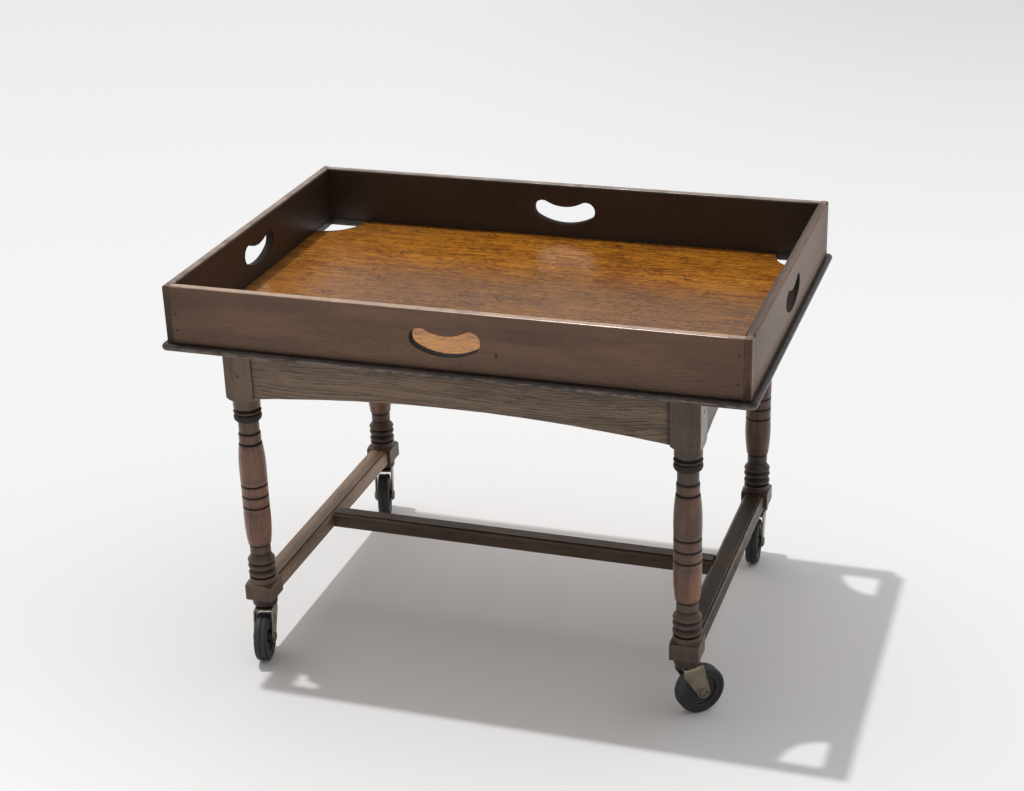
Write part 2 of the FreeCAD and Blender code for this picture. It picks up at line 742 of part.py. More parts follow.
def make_stretcher_bolts():
    """A bolt sunk in each side stretcher, running into the end of the centre stretcher."""
    bolts = []
    for side in (-1, 1):
        start = signed(side, f"({LEG_X} + side_stretcher_width/2 - bolt_sink)")
        spot = (start, "0", "castor_height + stretcher_lift + stretcher_height/2")
        axis = "x" if side < 0 else "-x"
        bolts.append(screw(f"bolt_{'left' if side < 0 else 'right'}", spot, axis,
                           "bolt_radius", "bolt_head_radius", "bolt_head_height", "bolt_length"))
    cluster("stretcher_bolts", bolts)


def make_screws():
    """The screws of the battens and of the walls, each sunk flush from below."""
    batten_length = "(batten_height + batten_screw_bite)"
    batten_screws = [
        screw(f"batten_screw_{index}", (across, along, f"{BASE_TOP} - batten_height"), "z",
              "screw_radius", "screw_head_radius", "screw_head_height", batten_length)
        for index, (across, along) in enumerate(batten_screw_places(), start=1)]
    cluster("batten_screws", batten_screws)
    wall_screws = [
        screw(f"wall_screw_{index}", (across, along, BASE_TOP), "z",
              "screw_radius", "screw_head_radius", "screw_head_height", "(floor_thick + wall_screw_bite)")
        for index, (across, along) in enumerate(wall_screw_places(), start=1)]
    cluster("wall_screws", wall_screws)


# Castors, drawn with the king pin on the upright axis and the wheel trailing along X

def make_stem(place, spot):
    """The stem that is driven into the leg and, below it, the king pin with its rivet head."""
    stem = Piece(f"castor_stem_{place}", *spot)
    head_top = f"({CROWN_UNDER} - race_gap)"
    head_low = f"({head_top} - stem_head_height)"
    stem.revolve("XZ_Plane", [
        Corner("0", head_low),
        Corner("stem_head_radius", head_low),
        Corner("stem_head_radius", head_top),
        Corner("stem_radius", head_top),
        Corner("stem_radius", "castor_height + stem_length"),
        Corner("0", "castor_height + stem_length"),
    ])


def make_cup(place, spot):
    """The fixed cup over the ball race, tight on the stem and against the leg."""
    cup = Piece(f"castor_cup_{place}", *spot)
    cup.revolve("XZ_Plane", [
        Corner("stem_radius", CUP_UNDER),
        Corner("cup_radius - cup_round", CUP_UNDER, "cup_round", -1),
        Corner("cup_radius", f"{CUP_UNDER} + cup_round"),
        Corner("cup_radius", "castor_height"),
        Corner("stem_radius", "castor_height"),
    ])


def fork_sketch(fork):
    """Side view of the fork: a crown, a heel, and straight edges that run tangent into the axle boss."""
    drawn = fork.sketch("XZ_Plane", [])
    spots = {"back": ("-crown_back", "crown_height"), "heel": ("-crown_back", "heel_height"),
             "toe": ("toe_reach", "toe_height"), "front": ("crown_front", "crown_height")}
    point = {name: FreeCAD.Vector(number(across), number(up)) for name, (across, up) in spots.items()}
    centre = FreeCAD.Vector(number("trail"), number(WHEEL_RADIUS))
    radius = number("boss_radius")

    def touch_angle(corner, side):
        """Direction from the boss centre to where a line from the corner touches the boss."""
        away = corner - centre
        return math.atan2(away.y, away.x) + side * math.acos(radius / away.Length)

    def on_boss(angle):
        """The point of the boss in a direction from its centre."""
        return centre + FreeCAD.Vector(math.cos(angle), math.sin(angle)) * radius

    heel_angle = touch_angle(point["heel"], 1)
    toe_angle = touch_angle(point["toe"], -1) + 2 * math.pi
    heel_touch = on_boss(heel_angle)
    toe_touch = on_boss(toe_angle)
    under = on_boss((heel_angle + toe_angle) / 2)
    lines = [(point["back"], point["heel"]), (point["heel"], heel_touch), (toe_touch, point["toe"]),
             (point["toe"], point["front"]), (point["front"], point["back"])]
    down, slope, rise, neck, top = [drawn.addGeometry(Part.LineSegment(*ends)) for ends in lines]
    boss = drawn.addGeometry(Part.Arc(heel_touch, under, toe_touch))
    for first, second in ((down, slope), (rise, neck), (neck, top), (top, down)):
        drawn.addConstraint(Sketcher.Constraint("Coincident", first, 2, second, 1))
    heel_end = 1 if drawn.getPoint(boss, 1).distanceToPoint(heel_touch) < 1e-6 else 2
    drawn.addConstraint(Sketcher.Constraint("Tangent", boss, heel_end, slope, 2))
    drawn.addConstraint(Sketcher.Constraint("Tangent", boss, 3 - heel_end, rise, 1))
    tie_point(drawn, boss, 3, "trail", WHEEL_RADIUS)
    tie(drawn, "Radius", "boss_radius", boss)
    for edge, name in ((down, "back"), (slope, "heel"), (neck, "toe"), (top, "front")):
        tie_point(drawn, edge, 1, *spots[name])
    return drawn


def make_fork(place, spot, turn):
    """The pressed fork: crown and two cheeks bent from one plate, bored for the king pin and the axle."""
    fork = Piece(f"castor_fork_{place}", *spot, "0", turn)
    outer = "(fork_gap + 2*fork_plate)"
    profile = fork_sketch(fork)
    blank = fork.feature("PartDesign::Pad")
    blank.Profile = profile
    blank.SideType = "Symmetric"
    blank.setExpression("Length", tied(outer))

    def bend_edge(edge):
        """Whether an edge lies along the crown's top at a cheek."""
        box = edge.BoundBox
        return box.ZMin > number("crown_height") - 1e-3 and box.YLength < 1e-3

    fork.fillet(blank, "fork_bend", bend_edge)
    slot = rectangle("-fork_gap/2", "fork_gap/2", "0", CROWN_UNDER)
    fork.pocket("YZ_Plane", [slot], both_ways=True)
    fork.pocket("XY_Plane", [Ring("0", "0", "stem_radius + pivot_gap")])
    fork.pocket("XZ_Plane", [Ring("trail", WHEEL_RADIUS, "axle_radius")], both_ways=True)


def make_axle(place, spot, turn):
    """The tubular axle, riveted over the fork's cheeks in a dished flange at each end."""
    axle = Piece(f"castor_axle_{place}", *spot, WHEEL_RADIUS, turn)
    cheek = "(fork_gap/2 + fork_plate)"
    tip = f"({cheek} + flange_thick)"
    dish = "(axle_bore + flange_thick/2)"
    axle.revolve("XY_Plane", [
        Corner("axle_bore", "-" + cheek),
        Corner(dish, "-" + tip),
        Corner("flange_radius", "-" + tip),
        Corner("flange_radius", "-" + cheek),
        Corner("axle_radius", "-" + cheek),
        Corner("axle_radius", cheek),
        Corner("flange_radius", cheek),
        Corner("flange_radius", tip),
        Corner(dish, tip),
        Corner("axle_bore", cheek),
    ])


def make_bush(place, spot, turn):
    """The steel bush that turns on the axle."""
    bush = Piece(f"castor_bush_{place}", *spot, WHEEL_RADIUS, turn)
    inner = "(axle_radius + pivot_gap)"
    bush.revolve("XY_Plane", rectangle(inner, "axle_radius + bush_wall", "-" + HUB_HALF, HUB_HALF))


def make_wheel(place, spot, turn):
    """The wheel centre: a hub, a thin web and a rim that carries the tyre."""
    wheel = Piece(f"castor_wheel_{place}", *spot, WHEEL_RADIUS, turn)
    inner = "(axle_radius + bush_wall)"
    rim_inner = "(rim_radius - rim_wall)"
    hub_half = f"({HUB_HALF} - hub_gap)"
    wheel.revolve("XY_Plane", [
        Corner(inner, "-" + hub_half),
        Corner("hub_radius", "-" + hub_half),
        Corner("hub_radius", "-web_thick/2"),
        Corner(rim_inner, "-web_thick/2"),
        Corner(rim_inner, "-rim_width/2"),
        Corner("rim_radius", "-rim_width/2"),
        Corner("rim_radius", "rim_width/2"),
        Corner(rim_inner, "rim_width/2"),
        Corner(rim_inner, "web_thick/2"),
        Corner("hub_radius", "web_thick/2"),
        Corner("hub_radius", hub_half),
        Corner(inner, hub_half),
    ])


def make_tyre(place, spot, turn):
    """The rubber tyre, with round shoulders and a groove round the tread."""
    tyre = Piece(f"castor_tyre_{place}", *spot, WHEEL_RADIUS, turn)
    half = "(tyre_width/2)"
    flat = f"({half} - tyre_shoulder)"
    shoulder = f"({WHEEL_RADIUS} - tyre_shoulder)"
    valley = f"({WHEEL_RADIUS} - tread_groove_depth)"
    tyre.revolve("XY_Plane", [
        Corner("rim_radius", "-" + half),
        Corner(shoulder, "-" + half, "tyre_shoulder", -1),
        Corner(WHEEL_RADIUS, "-" + flat),
        Corner(WHEEL_RADIUS, "-tread_groove_width/2"),
        Corner(valley, "0"),
        Corner(WHEEL_RADIUS, "tread_groove_width/2"),
        Corner(WHEEL_RADIUS, flat, "tyre_shoulder", -1),
        Corner(shoulder, half),
        Corner("rim_radius", half),
    ])


def make_castor(place):
    """One castor under its leg, turned to its rest angle."""
    side, face = LEGS[place]
    turn = f"turn_{place}"
    leg_x = signed(side, LEG_X)
    leg_y = signed(face, LEG_Y)
    pivot = (leg_x, leg_y)
    hub = (f"{leg_x} + trail*cos({turn})", f"{leg_y} + trail*sin({turn})")
    make_stem(place, pivot)
    make_cup(place, pivot)
    make_fork(place, pivot, turn)
    make_axle(place, hub, turn)
    make_bush(place, hub, turn)
    make_wheel(place, hub, turn)
    make_tyre(place, hub, turn)


# Assembly, checks and files

def make_table():
    """Every sub-part of the table."""
    for place in LEGS:
        make_leg(place)
    make_apron("front_apron", "0", signed(-1, APRON_LINE_Y), "0", LONG_APRON, "long_peg_drop")
    make_apron("back_apron", "0", APRON_LINE_Y, "0", LONG_APRON, "long_peg_drop")
    make_apron("left_apron", signed(-1, APRON_LINE_X), "0", "90", SHORT_APRON, "short_peg_drop")
    make_apron("right_apron", APRON_LINE_X, "0", "90", SHORT_APRON, "short_peg_drop")
    make_side_stretcher("left_stretcher", -1)
    make_side_stretcher("right_stretcher", 1)
    make_centre_stretcher()
    make_pegs()
    make_stretcher_bolts()
    make_floor()
    make_long_wall("tray_front_wall", -1)
    make_long_wall("tray_back_wall", 1)
    make_short_wall("tray_left_wall", -1)
    make_short_wall("tray_right_wall", 1)
    make_batten("left_batten", -1)
    make_batten("right_batten", 1)
    make_screws()
    for place in LEGS:
        make_castor(place)


def check_document():
    """Stops on any failed object, on a cut that cuts nothing and on any bad shape."""
    for item in document.Objects:
        if "Invalid" in item.State or "Error" in item.State:
            raise RuntimeError(f"{item.Label} failed: {item.State}")
        if item.TypeId == "PartDesign::Pocket":
            removed = item.BaseFeature.Shape.Volume - item.Shape.Volume
            if removed < 1e-3:
                raise RuntimeError(f"{item.Label} cuts nothing")
    for item in sub_parts:
        if item.Shape.isNull() or not item.Shape.isValid():
            raise RuntimeError(f"{item.Label} has no valid shape")


def write_parts():
    """One file for each sub-part."""
    os.makedirs("parts", exist_ok=True)
    for item in sub_parts:
        item.Shape.exportStep(f"parts/{item.Label}.step")


fill_sheet()
make_table()
document.recompute()
check_document()
write_parts()
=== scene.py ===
"""Looks of a butlers tray table: a deep oak tray that lifts off a turned stand on castors.

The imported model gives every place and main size. The pieces made here carry the finer forms,
the worn arrises and the finishes. Metres, +Z up, +X along the tray, -Y towards the front.
"""
import json
import math

import bpy
import numpy as np
from bpy.props import FloatProperty, FloatVectorProperty, PointerProperty
from mathutils import Matrix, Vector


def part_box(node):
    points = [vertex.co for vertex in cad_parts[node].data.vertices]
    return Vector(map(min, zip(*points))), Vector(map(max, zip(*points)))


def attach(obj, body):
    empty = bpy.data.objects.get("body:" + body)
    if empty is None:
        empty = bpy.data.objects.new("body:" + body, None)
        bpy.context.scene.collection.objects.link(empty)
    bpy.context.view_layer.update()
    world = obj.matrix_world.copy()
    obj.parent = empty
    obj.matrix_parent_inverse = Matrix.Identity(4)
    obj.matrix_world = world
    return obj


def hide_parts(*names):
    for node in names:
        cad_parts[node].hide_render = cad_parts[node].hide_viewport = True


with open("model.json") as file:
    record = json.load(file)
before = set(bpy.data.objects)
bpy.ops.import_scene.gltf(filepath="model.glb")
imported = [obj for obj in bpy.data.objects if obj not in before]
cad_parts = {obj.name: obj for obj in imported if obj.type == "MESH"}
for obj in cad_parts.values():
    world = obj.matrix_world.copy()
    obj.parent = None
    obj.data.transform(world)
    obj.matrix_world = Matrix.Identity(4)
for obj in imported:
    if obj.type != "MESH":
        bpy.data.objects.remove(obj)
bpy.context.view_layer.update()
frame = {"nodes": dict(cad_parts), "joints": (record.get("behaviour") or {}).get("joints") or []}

bl_info = {
    "name": "Butlers tray table",
    "version": (1, 0, 0),
    "blender": (4, 5, 0),
    "location": "View3D > Sidebar > Tray table",
    "description": "Dresses the packed tray table with oak, steel and rubber finishes",
    "category": "Object",
}

PLACES = ("front_left", "front_right", "back_left", "back_right")
JOINTS = {joint["name"]: joint for joint in frame["joints"]}
# Directions along, across and up the table
RIGHT, BACK, UP = np.eye(3)
# The sides of the table: name, direction along and direction outwards
SIDES = (("front", RIGHT, -BACK), ("back", RIGHT, BACK), ("left", BACK, -RIGHT), ("right", BACK, RIGHT))


def size(label, text, millimetres):
    """A length that a user may change, given in millimetres."""
    return FloatProperty(name=label, description=text, default=millimetres / 1000, unit="LENGTH",
                         precision=4)


def angle(label, text, degrees):
    """An angle that a user may change, given in degrees."""
    return FloatProperty(name=label, description=text, default=math.radians(degrees), subtype="ANGLE")


def strength(label, text, value):
    """A strength of light that a user may change."""
    return FloatProperty(name=label, description=text, default=value)


def tint(label, text, *colour):
    """A colour that a user may change, as linear red, green and blue."""
    return FloatVectorProperty(name=label, description=text, default=colour, subtype="COLOR", size=3,
                               min=0, max=1)


class TraySizes(bpy.types.PropertyGroup):
    """Finer sizes of the tray."""

    wall_round: size("Wall top rounding", "Radius along the top arrises of the walls", 3.0)
    arris: size("Worn arris", "Radius of the other arrises, worn by use", 0.9)
    corner_rebate: size("Corner rebate", "How far the long walls are let into the short ones", 3.5)
    corner_hole: size("Corner hole radius", "Radius of the quarter-round holes in the floor", 64.0)
    lip: size("Lip", "How far the floor board runs past the walls", 9.0)
    lip_corner: size("Lip corner", "Radius of the floor board's corners in plan", 10.0)
    lip_round: size("Lip rounding", "Radius of the lip's edge", 5.0)
    grip_width: size("Hand hole width", "Even width of the bent hand hole", 30.0)
    grip_bend: size("Hand hole bend", "Radius of the hand hole's centre line", 77.0)
    grip_half_span: size("Hand hole half span", "From the middle to the centre of each round end", 37.0)
    grip_height: size("Hand hole height", "From the floor to the centre line at its lowest", 36.0)


class TurningSizes(bpy.types.PropertyGroup):
    """Lengths and radii of the turned legs."""

    foot_block: size("Foot block", "Height of the square at the foot", 20.0)
    block_arris: size("Block arris", "Rounding of the blocks' end edges", 1.0)
    pommel: size("Pommel", "Reach of the shoulders of the blocks past the turning", 12.0)
    pommel_rise: size("Pommel rise", "Height of the shoulder over the foot block", 7.0)
    foot_collar: size("Foot collar", "Length of the collar over the pommel", 9.0)
    foot_ring_low: size("Low foot ring", "Length of the lowest ring", 12.5)
    foot_ring_mid: size("Middle foot ring", "Length of the middle ring", 12.5)
    foot_bell: size("Foot bell", "Length of the flared ring at the foot", 14.5)
    foot_band: size("Foot band", "Length of the plain band under the lower vase", 16.0)
    low_vase: size("Lower vase", "Length of the lower vase", 59.0)
    waist: size("Waist", "Length of the grooved waist", 50.0)
    waist_pitch: size("Groove pitch", "Distance between the grooves of the waist", 18.0)
    head_block: size("Head block", "Height of the square at the head", 71.0)
    head_shoulder: size("Head shoulder", "Length of the rounded shoulder under the head block", 14.0)
    head_collar: size("Head collar", "Length of the collar under the shoulder", 14.0)
    head_groove: size("Head groove", "Width of the black groove under the collar", 4.0)
    head_ring_top: size("Top head ring", "Length of the upper ring at the head", 5.5)
    head_ring_low: size("Low head ring", "Length of the lower ring at the head", 12.5)
    head_cove: size("Head cove", "Length of the hollow under the head rings", 5.0)
    neck: size("Neck", "Length of the thin neck", 15.0)
    head_band: size("Head band", "Length of the plain band over the upper vase", 17.0)
    turning_radius: size("Turning radius", "Radius of the collars and the waist", 20.4)
    ring_radius: size("Ring radius", "Radius at the crest of the rings", 21.2)
    valley_radius: size("Valley radius", "Radius between the rings", 16.8)
    neck_radius: size("Neck radius", "Radius of the neck", 15.6)
    foot_band_radius: size("Foot band radius", "Radius of the band under the lower vase", 16.0)
    head_band_radius: size("Head band radius", "Radius of the band over the upper vase", 16.8)
    vase_end_radius: size("Vase end radius", "Radius at the thin ends of the vases", 17.7)
    vase_swell: size("Vase swell", "How far the vases swell past a straight taper", 1.3)
    groove_width: size("Groove width", "Width of the V grooves", 3.2)
    groove_depth: size("Groove depth", "Depth of the V grooves", 1.8)


class RailSizes(bpy.types.PropertyGroup):
    """Finer sizes of the aprons and the stretchers."""

    arch_rise: size("Arch rise", "Height of the arch under an apron", 19.0)
    mould_round: size("Moulding radius", "Radius of the quarter round along a stretcher", 5.0)
    arris: size("Worn arris", "Radius of the arrises, worn by use", 1.1)


class CastorSizes(bpy.types.PropertyGroup):
    """Finer sizes of the castors."""

    wheel_radius: size("Wheel radius", "Radius over the tread", 37.49)
    tyre_width: size("Tyre width", "Width of the tyre", 20.0)
    tyre_shoulder: size("Tyre shoulder", "Radius of the tyre's shoulders", 4.0)
    tread_groove: size("Tread groove", "Depth of the groove round the tread", 1.5)
    rim_radius: size("Rim radius", "Radius of the wheel centre under the tyre", 27.0)
    rim_wall: size("Rim wall", "Thickness of the rim", 3.5)
    rim_width: size("Rim width", "Width of the rim", 17.0)
    web: size("Web", "Thickness of the web", 8.0)
    hub_radius: size("Hub radius", "Radius of the hub", 10.5)
    hub_bore: size("Hub bore", "Radius of the hub's bore", 6.5)
    hub_half: size("Hub half width", "Half the width of the hub", 12.2)
    plate: size("Fork plate", "Thickness of the fork's plate", 2.5)
    fork_gap: size("Fork gap", "Width between the fork's cheeks", 26.0)
    fork_bend: size("Fork bend", "Outer radius of the bends at the crown", 4.0)
    crown_height: size("Crown height", "Height of the crown over the floor", 83.5)
    crown_back: size("Crown back", "Reach of the crown behind the king pin", 12.0)
    crown_front: size("Crown front", "Reach of the crown before the king pin", 20.0)
    heel_height: size("Heel height", "Height where the fork's back edge turns in", 71.0)
    toe_reach: size("Toe reach", "Reach of the fork's front edge where it turns down", 23.0)
    toe_height: size("Toe height", "Height where the fork's front edge turns down", 70.0)
    boss_radius: size("Boss radius", "Radius of the fork round the axle", 10.0)
    axle_bore: size("Axle bore", "Radius of the hollow in the axle", 3.4)
    axle_radius: size("Axle radius", "Radius of the axle", 5.0)
    flange_radius: size("Flange radius", "Radius of the axle's rolled flanges", 7.5)
    flange: size("Flange", "Thickness of the axle's rolled flanges", 2.0)
    cup_round: size("Cup rounding", "Radius of the cup's lower edge", 6.0)


class Finishes(bpy.types.PropertyGroup):
    """Colours of the finishes and of the stage."""

    wall_dark: tint("Wall, dark", "Dark grain of the tray's walls", 0.058, 0.026, 0.0115)
    wall_light: tint("Wall, light", "Light grain of the tray's walls", 0.168, 0.085, 0.044)
    wall_warm: tint("Wall, faded", "Broad faded streaks of the tray's walls", 0.190, 0.094, 0.046)
    # The inner faces' tones are darker than the outer ones: painted shade.
    inner_shade_dark: tint("Inner face, dark", "Dark grain inside the tray's walls", 0.014, 0.0065, 0.003)
    inner_shade_light: tint("Inner face, light", "Light grain inside the tray's walls", 0.052, 0.026, 0.013)
    lip_dark: tint("Lip, dark", "Dark grain of the lip round the floor board", 0.052, 0.035, 0.025)
    # The lip's light tone is pale grey, so that its lower side reads as lit: partly a painted highlight.
    lip_light_and_highlight: tint("Lip, light", "Light grain of the lip round the floor board", 0.250, 0.186, 0.142)
    floor_dark: tint("Tray floor, dark", "Dark grain of the tray's floor", 0.180, 0.053, 0.0042)
    floor_light: tint("Tray floor, light", "Light grain of the tray's floor", 0.568, 0.211, 0.016)
    floor_red: tint("Tray floor, red", "Reddish patches of the tray's floor", 0.250, 0.080, 0.012)
    floor_fresh: tint("Tray floor, fresh", "Less handled wood along the front wall", 0.720, 0.330, 0.060)
    floor_deep: tint("Tray floor, deep", "Dark flecks and scratches of the tray's floor",
                     0.060, 0.022, 0.006)
    stand_dark: tint("Stand, dark", "Dark grain of the aprons and stretchers", 0.056, 0.035, 0.021)
    stand_light: tint("Stand, light", "Light grain of the aprons and stretchers", 0.228, 0.149, 0.094)
    block_dark: tint("Block, dark", "Dark grain of the legs' blocks and rings", 0.038, 0.0235, 0.0155)
    block_light: tint("Block, light", "Light grain of the legs' blocks and rings", 0.164, 0.103, 0.068)
    leg_dark: tint("Leg, dark", "Dark grain of the legs", 0.042, 0.019, 0.011)
    leg_light: tint("Leg, light", "Light grain of the legs", 0.200, 0.103, 0.068)
    leg_warm: tint("Leg, faded", "Broad faded streaks of the legs", 0.310, 0.140, 0.076)
    # This colour also paints shade in the hand holes, on the lip, along the aprons' tops and in the axles'
    # bores.
    grime_and_shade: tint("Grime", "Old wax and dirt in the grooves and corners", 0.010, 0.007, 0.006)
    # Pale enough to stand in for part of the highlight along the walls' tops: partly a painted highlight.
    worn: tint("Worn oak", "Bare oak on worn arrises", 0.500, 0.265, 0.125)
    # Greyish pale, partly a painted highlight along the stretchers' mouldings.
    rail_worn_and_highlight: tint("Worn rail", "Worn arrises of the stretchers", 0.290, 0.225, 0.175)
    ring_gap: size("Ring gap", "Distance between the growth rings of the oak", 3.4)
    plate_steel: tint("Plated steel", "The forks and axles", 0.255, 0.220, 0.152)
    tarnish: tint("Tarnish", "Dull patches on the plated steel", 0.116, 0.099, 0.070)
    cup_iron: tint("Cup", "The dark cups over the ball races", 0.042, 0.027, 0.021)
    cup_rust: tint("Cup rust", "Rust on the cups", 0.110, 0.046, 0.028)
    screw_steel: tint("Screw steel", "Screws and bolts", 0.160, 0.145, 0.125)
    rubber: tint("Rubber", "The tyres", 0.010, 0.010, 0.011)
    rubber_worn: tint("Worn rubber", "Dusty patches on the tyres", 0.028, 0.027, 0.027)
    wheel: tint("Wheel centre", "The moulded wheel centres", 0.012, 0.0115, 0.012)
    wheel_worn: tint("Worn wheel centre", "Dusty patches on the wheel centres", 0.030, 0.027, 0.025)
    studio_floor: tint("Studio floor", "The pale floor", 0.92, 0.92, 0.92)


# Surfaces on grids

# Points nearer than this are joined, and faces thinner than this along an axis stay flat
WELD_REACH = 1e-6
FLAT = 1e-7
# Corners that open wider than this, in radians, stay as they are
STRAIGHT = 3.1


def ring_faces(rows, columns, wrap_rows):
    """Quads of a grid whose columns close on themselves, and whose rows do so if asked."""
    row = np.arange(rows if wrap_rows else rows - 1)[:, None]
    column = np.arange(columns)[None, :]
    below = (row + 1) % rows * columns
    beside = (column + 1) % columns
    here = row * columns
    return np.stack([here + column, here + beside, below + beside, below + column], -1).reshape(-1, 4)


def signed_volume(points, faces):
    """Volume inside a closed set of quads, below zero where they face inwards."""
    a, b, c, d = (points[faces[:, corner]] for corner in range(4))
    return float((np.cross(a, b) * c).sum() + (np.cross(a, c) * d).sum())


class Shell:
    """Points and quads of one closed surface, with what its finish reads at each point.

    grain holds places along, across and through the board; wear is 1 on bare arrises; the dark-hollow mark
    is 1 in dark hollows, for old dirt and, in the hand holes, on the lip, along the aprons' tops and in the
    bores, for painted shade; stain is 1 where a second set of colours covers the first: a darker stain on
    the legs, painted shade on the walls' inner faces, and the lip's tones.
    """

    def __init__(self, points, faces, grain, *marks):
        self.points = points.reshape(-1, 3)
        self.faces = faces
        self.grain = grain.reshape(-1, 3)
        self.wear, self.grime_and_shade, self.stain = (np.broadcast_to(mark, points.shape[:-1]).reshape(-1)
                                             for mark in marks)


def ring_shell(points, grain, wear=0.0, grime_and_shade=0.0, stain=0.0):
    """A surface that closes on itself both ways, such as a tyre or a board with a hole."""
    faces = ring_faces(*points.shape[:2], True)
    return Shell(points, faces, grain, np.clip(wear, 0, 1), np.clip(grime_and_shade, 0, 1), stain)


def tube_shell(points, grain, wear=0.0, grime_and_shade=0.0, stain=0.0):
    """Rings of points in rows, closed at both ends by a fan to the middle of the end ring."""
    def capped(values):
        values = np.broadcast_to(values, points.shape[:2] + np.shape(values)[2:])
        first, last = (np.broadcast_to(end.mean(1, keepdims=True), end.shape)
                       for end in (values[:1], values[-1:]))
        return np.concatenate([first, values, last])

    faces = ring_faces(points.shape[0] + 2, points.shape[1], False)
    marks = (np.clip(wear, 0, 1), np.clip(grime_and_shade, 0, 1), stain)
    return Shell(capped(points), faces, capped(grain), *map(capped, marks))


def put_in_scene(name, data):
    """A new object in the scene that shows some data."""
    made = bpy.data.objects.new(name, data)
    bpy.context.scene.collection.objects.link(made)
    return made


def make_piece(name, shells, material, body, node, slot):
    """One mesh object from shells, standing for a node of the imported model.

    Faces that lie square to an axis stay flat, and all others are shaded smooth.
    """
    faces = []
    start = 0
    for shell in shells:
        turned = shell.faces if signed_volume(shell.points, shell.faces) > 0 else shell.faces[:, ::-1]
        faces.append(turned + start)
        start += len(shell.points)
    points = np.concatenate([shell.points for shell in shells])
    faces = np.concatenate(faces)
    mesh = bpy.data.meshes.new(name)
    mesh.from_pydata(points, [], faces)
    for attribute in ("grain", "wear", "grime_and_shade", "stain"):
        values = np.concatenate([getattr(shell, attribute) for shell in shells]).astype(np.float32)
        kind, field = ("FLOAT_VECTOR", "vector") if attribute == "grain" else ("FLOAT", "value")
        mesh.attributes.new(attribute, kind, "POINT").data.foreach_set(field, values.ravel())
    mesh.polygons.foreach_set("use_smooth", np.ptp(points[faces], axis=1).min(axis=1) > FLAT)
    mesh.validate()
    mesh.materials.append(material)
    piece = put_in_scene(name, mesh)
    piece.modifiers.new("close_poles", "WELD").merge_threshold = WELD_REACH
    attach(piece, body)
    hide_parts(node)


def placed(local, origin, along, outward):
    """Points with local places along, up and outwards put into the table's frame."""
    return np.asarray(origin) + local @ np.stack([along, UP, outward])


def unit(vector):
    """A vector made one long."""
    return vector / np.linalg.norm(vector)


def spokes(turn):
    """Directions in a plane at some angles."""
    return np.stack([np.cos(turn), np.sin(turn)], -1)


def fading(distance, reach):
    """1 at an edge, falling away from it over a reach."""
    return np.exp(-distance / reach)


def wander(values, pitch, seed):
    """A slow wave between about -1 and 1: four sines of unrelated pitch and seeded phase."""
    chance = np.random.default_rng(seed)
    factors = (1.0, 1.7, 2.9, 4.6)
    waves = [np.sin(values / pitch * factor + chance.uniform(0, 2 * np.pi)) for factor in factors]
    return sum(waves) / 4 * 1.6


def box_loop(arc_steps, face_steps):
    """Loop round a rectangle with rounded corners: shares across and up its flats, and arc directions.

    Each row is (across from -1 to 1, up from 0 to 1, arc across, arc up, corner number).
    """
    rows = []
    signs = [(1, 0), (1, 1), (-1, 1), (-1, 0)]
    for corner, (across, up) in enumerate(signs):
        for turn in np.radians(-90 + 90 * corner + np.linspace(0, 90, arc_steps + 1)):
            rows.append((across, up, math.cos(turn), math.sin(turn), corner))
        next_across, next_up = signs[(corner + 1) % 4]
        ahead = math.radians(90 * corner)
        for share in np.linspace(0, 1, face_steps + 2)[1:-1]:
            rows.append((across + (next_across - across) * share, up + (next_up - up) * share,
                         math.cos(ahead), math.sin(ahead), corner))
    return np.array(rows)


def box_sections(half, low, high, radii, arc_steps=4, face_steps=6):
    """Rounded-rectangle sections, one for each station; radii gives the four corners' roundings.

    half, low and high are arrays over the stations, or single numbers.
    """
    across, up, arc_across, arc_up, corner = box_loop(arc_steps, face_steps).T
    radius = np.asarray(radii)[..., corner.astype(int)]
    half, low, high = (np.atleast_1d(value)[:, None] for value in (half, low, high))
    right = across * (half - radius) + radius * arc_across
    above = low + radius + up * (high - low - 2 * radius) + radius * arc_up
    return np.stack(np.broadcast_arrays(right, above), -1)


def ring_board(inner, outer, half_thick, inner_round, outer_round, shares, arc_steps=5):
    """A flat board between a hole and an outline, closed like a ring.

    inner(t) and outer(t) give the hole and the outline moved into the board by t times their rounding.
    Round the board the section climbs the hole's side, turns over an arris, crosses the face to the
    outline, turns over two arrises there and comes back across the other face.
    Returns points (section, round, 3) as along, across and through, and the distance from the hole.
    """
    def over_arris(outline, rounding, turns):
        """Rows of an outline and its depths from the side of the board, at 0, to its face."""
        for turn in turns:
            flat = outline(1 - math.cos(turn))
            yield flat, half_thick - rounding * (1 - math.sin(turn)) + 0 * flat[:, 0]

    turns = np.linspace(0, np.pi / 2, arc_steps + 1)
    rows = list(over_arris(inner, inner_round, turns))
    for share in shares:
        flat = inner(1.0) * (1 - share) + outer(1.0) * share
        rows.append((flat, half_thick + 0 * flat[:, 0]))
    rows += over_arris(outer, outer_round, turns[::-1])
    flat, depth = (np.stack(values) for values in zip(*rows))
    front = np.concatenate([flat, depth[..., None]], -1)
    back = np.concatenate([flat, -depth[..., None]], -1)[::-1]
    points = np.concatenate([front, back])
    return points, np.linalg.norm(points[..., :2] - inner(0.0)[None], axis=-1)


def revolve(profile, centre, axis, start, steps):
    """A profile of (radius, place along the axis) turned about an axis through a centre."""
    turn = np.linspace(0, 2 * np.pi, steps, endpoint=False)
    spoke = np.cos(turn)[:, None] * start + np.sin(turn)[:, None] * np.cross(axis, start)
    return centre + profile[:, None, :1] * spoke[None] + profile[:, None, 1:] * axis


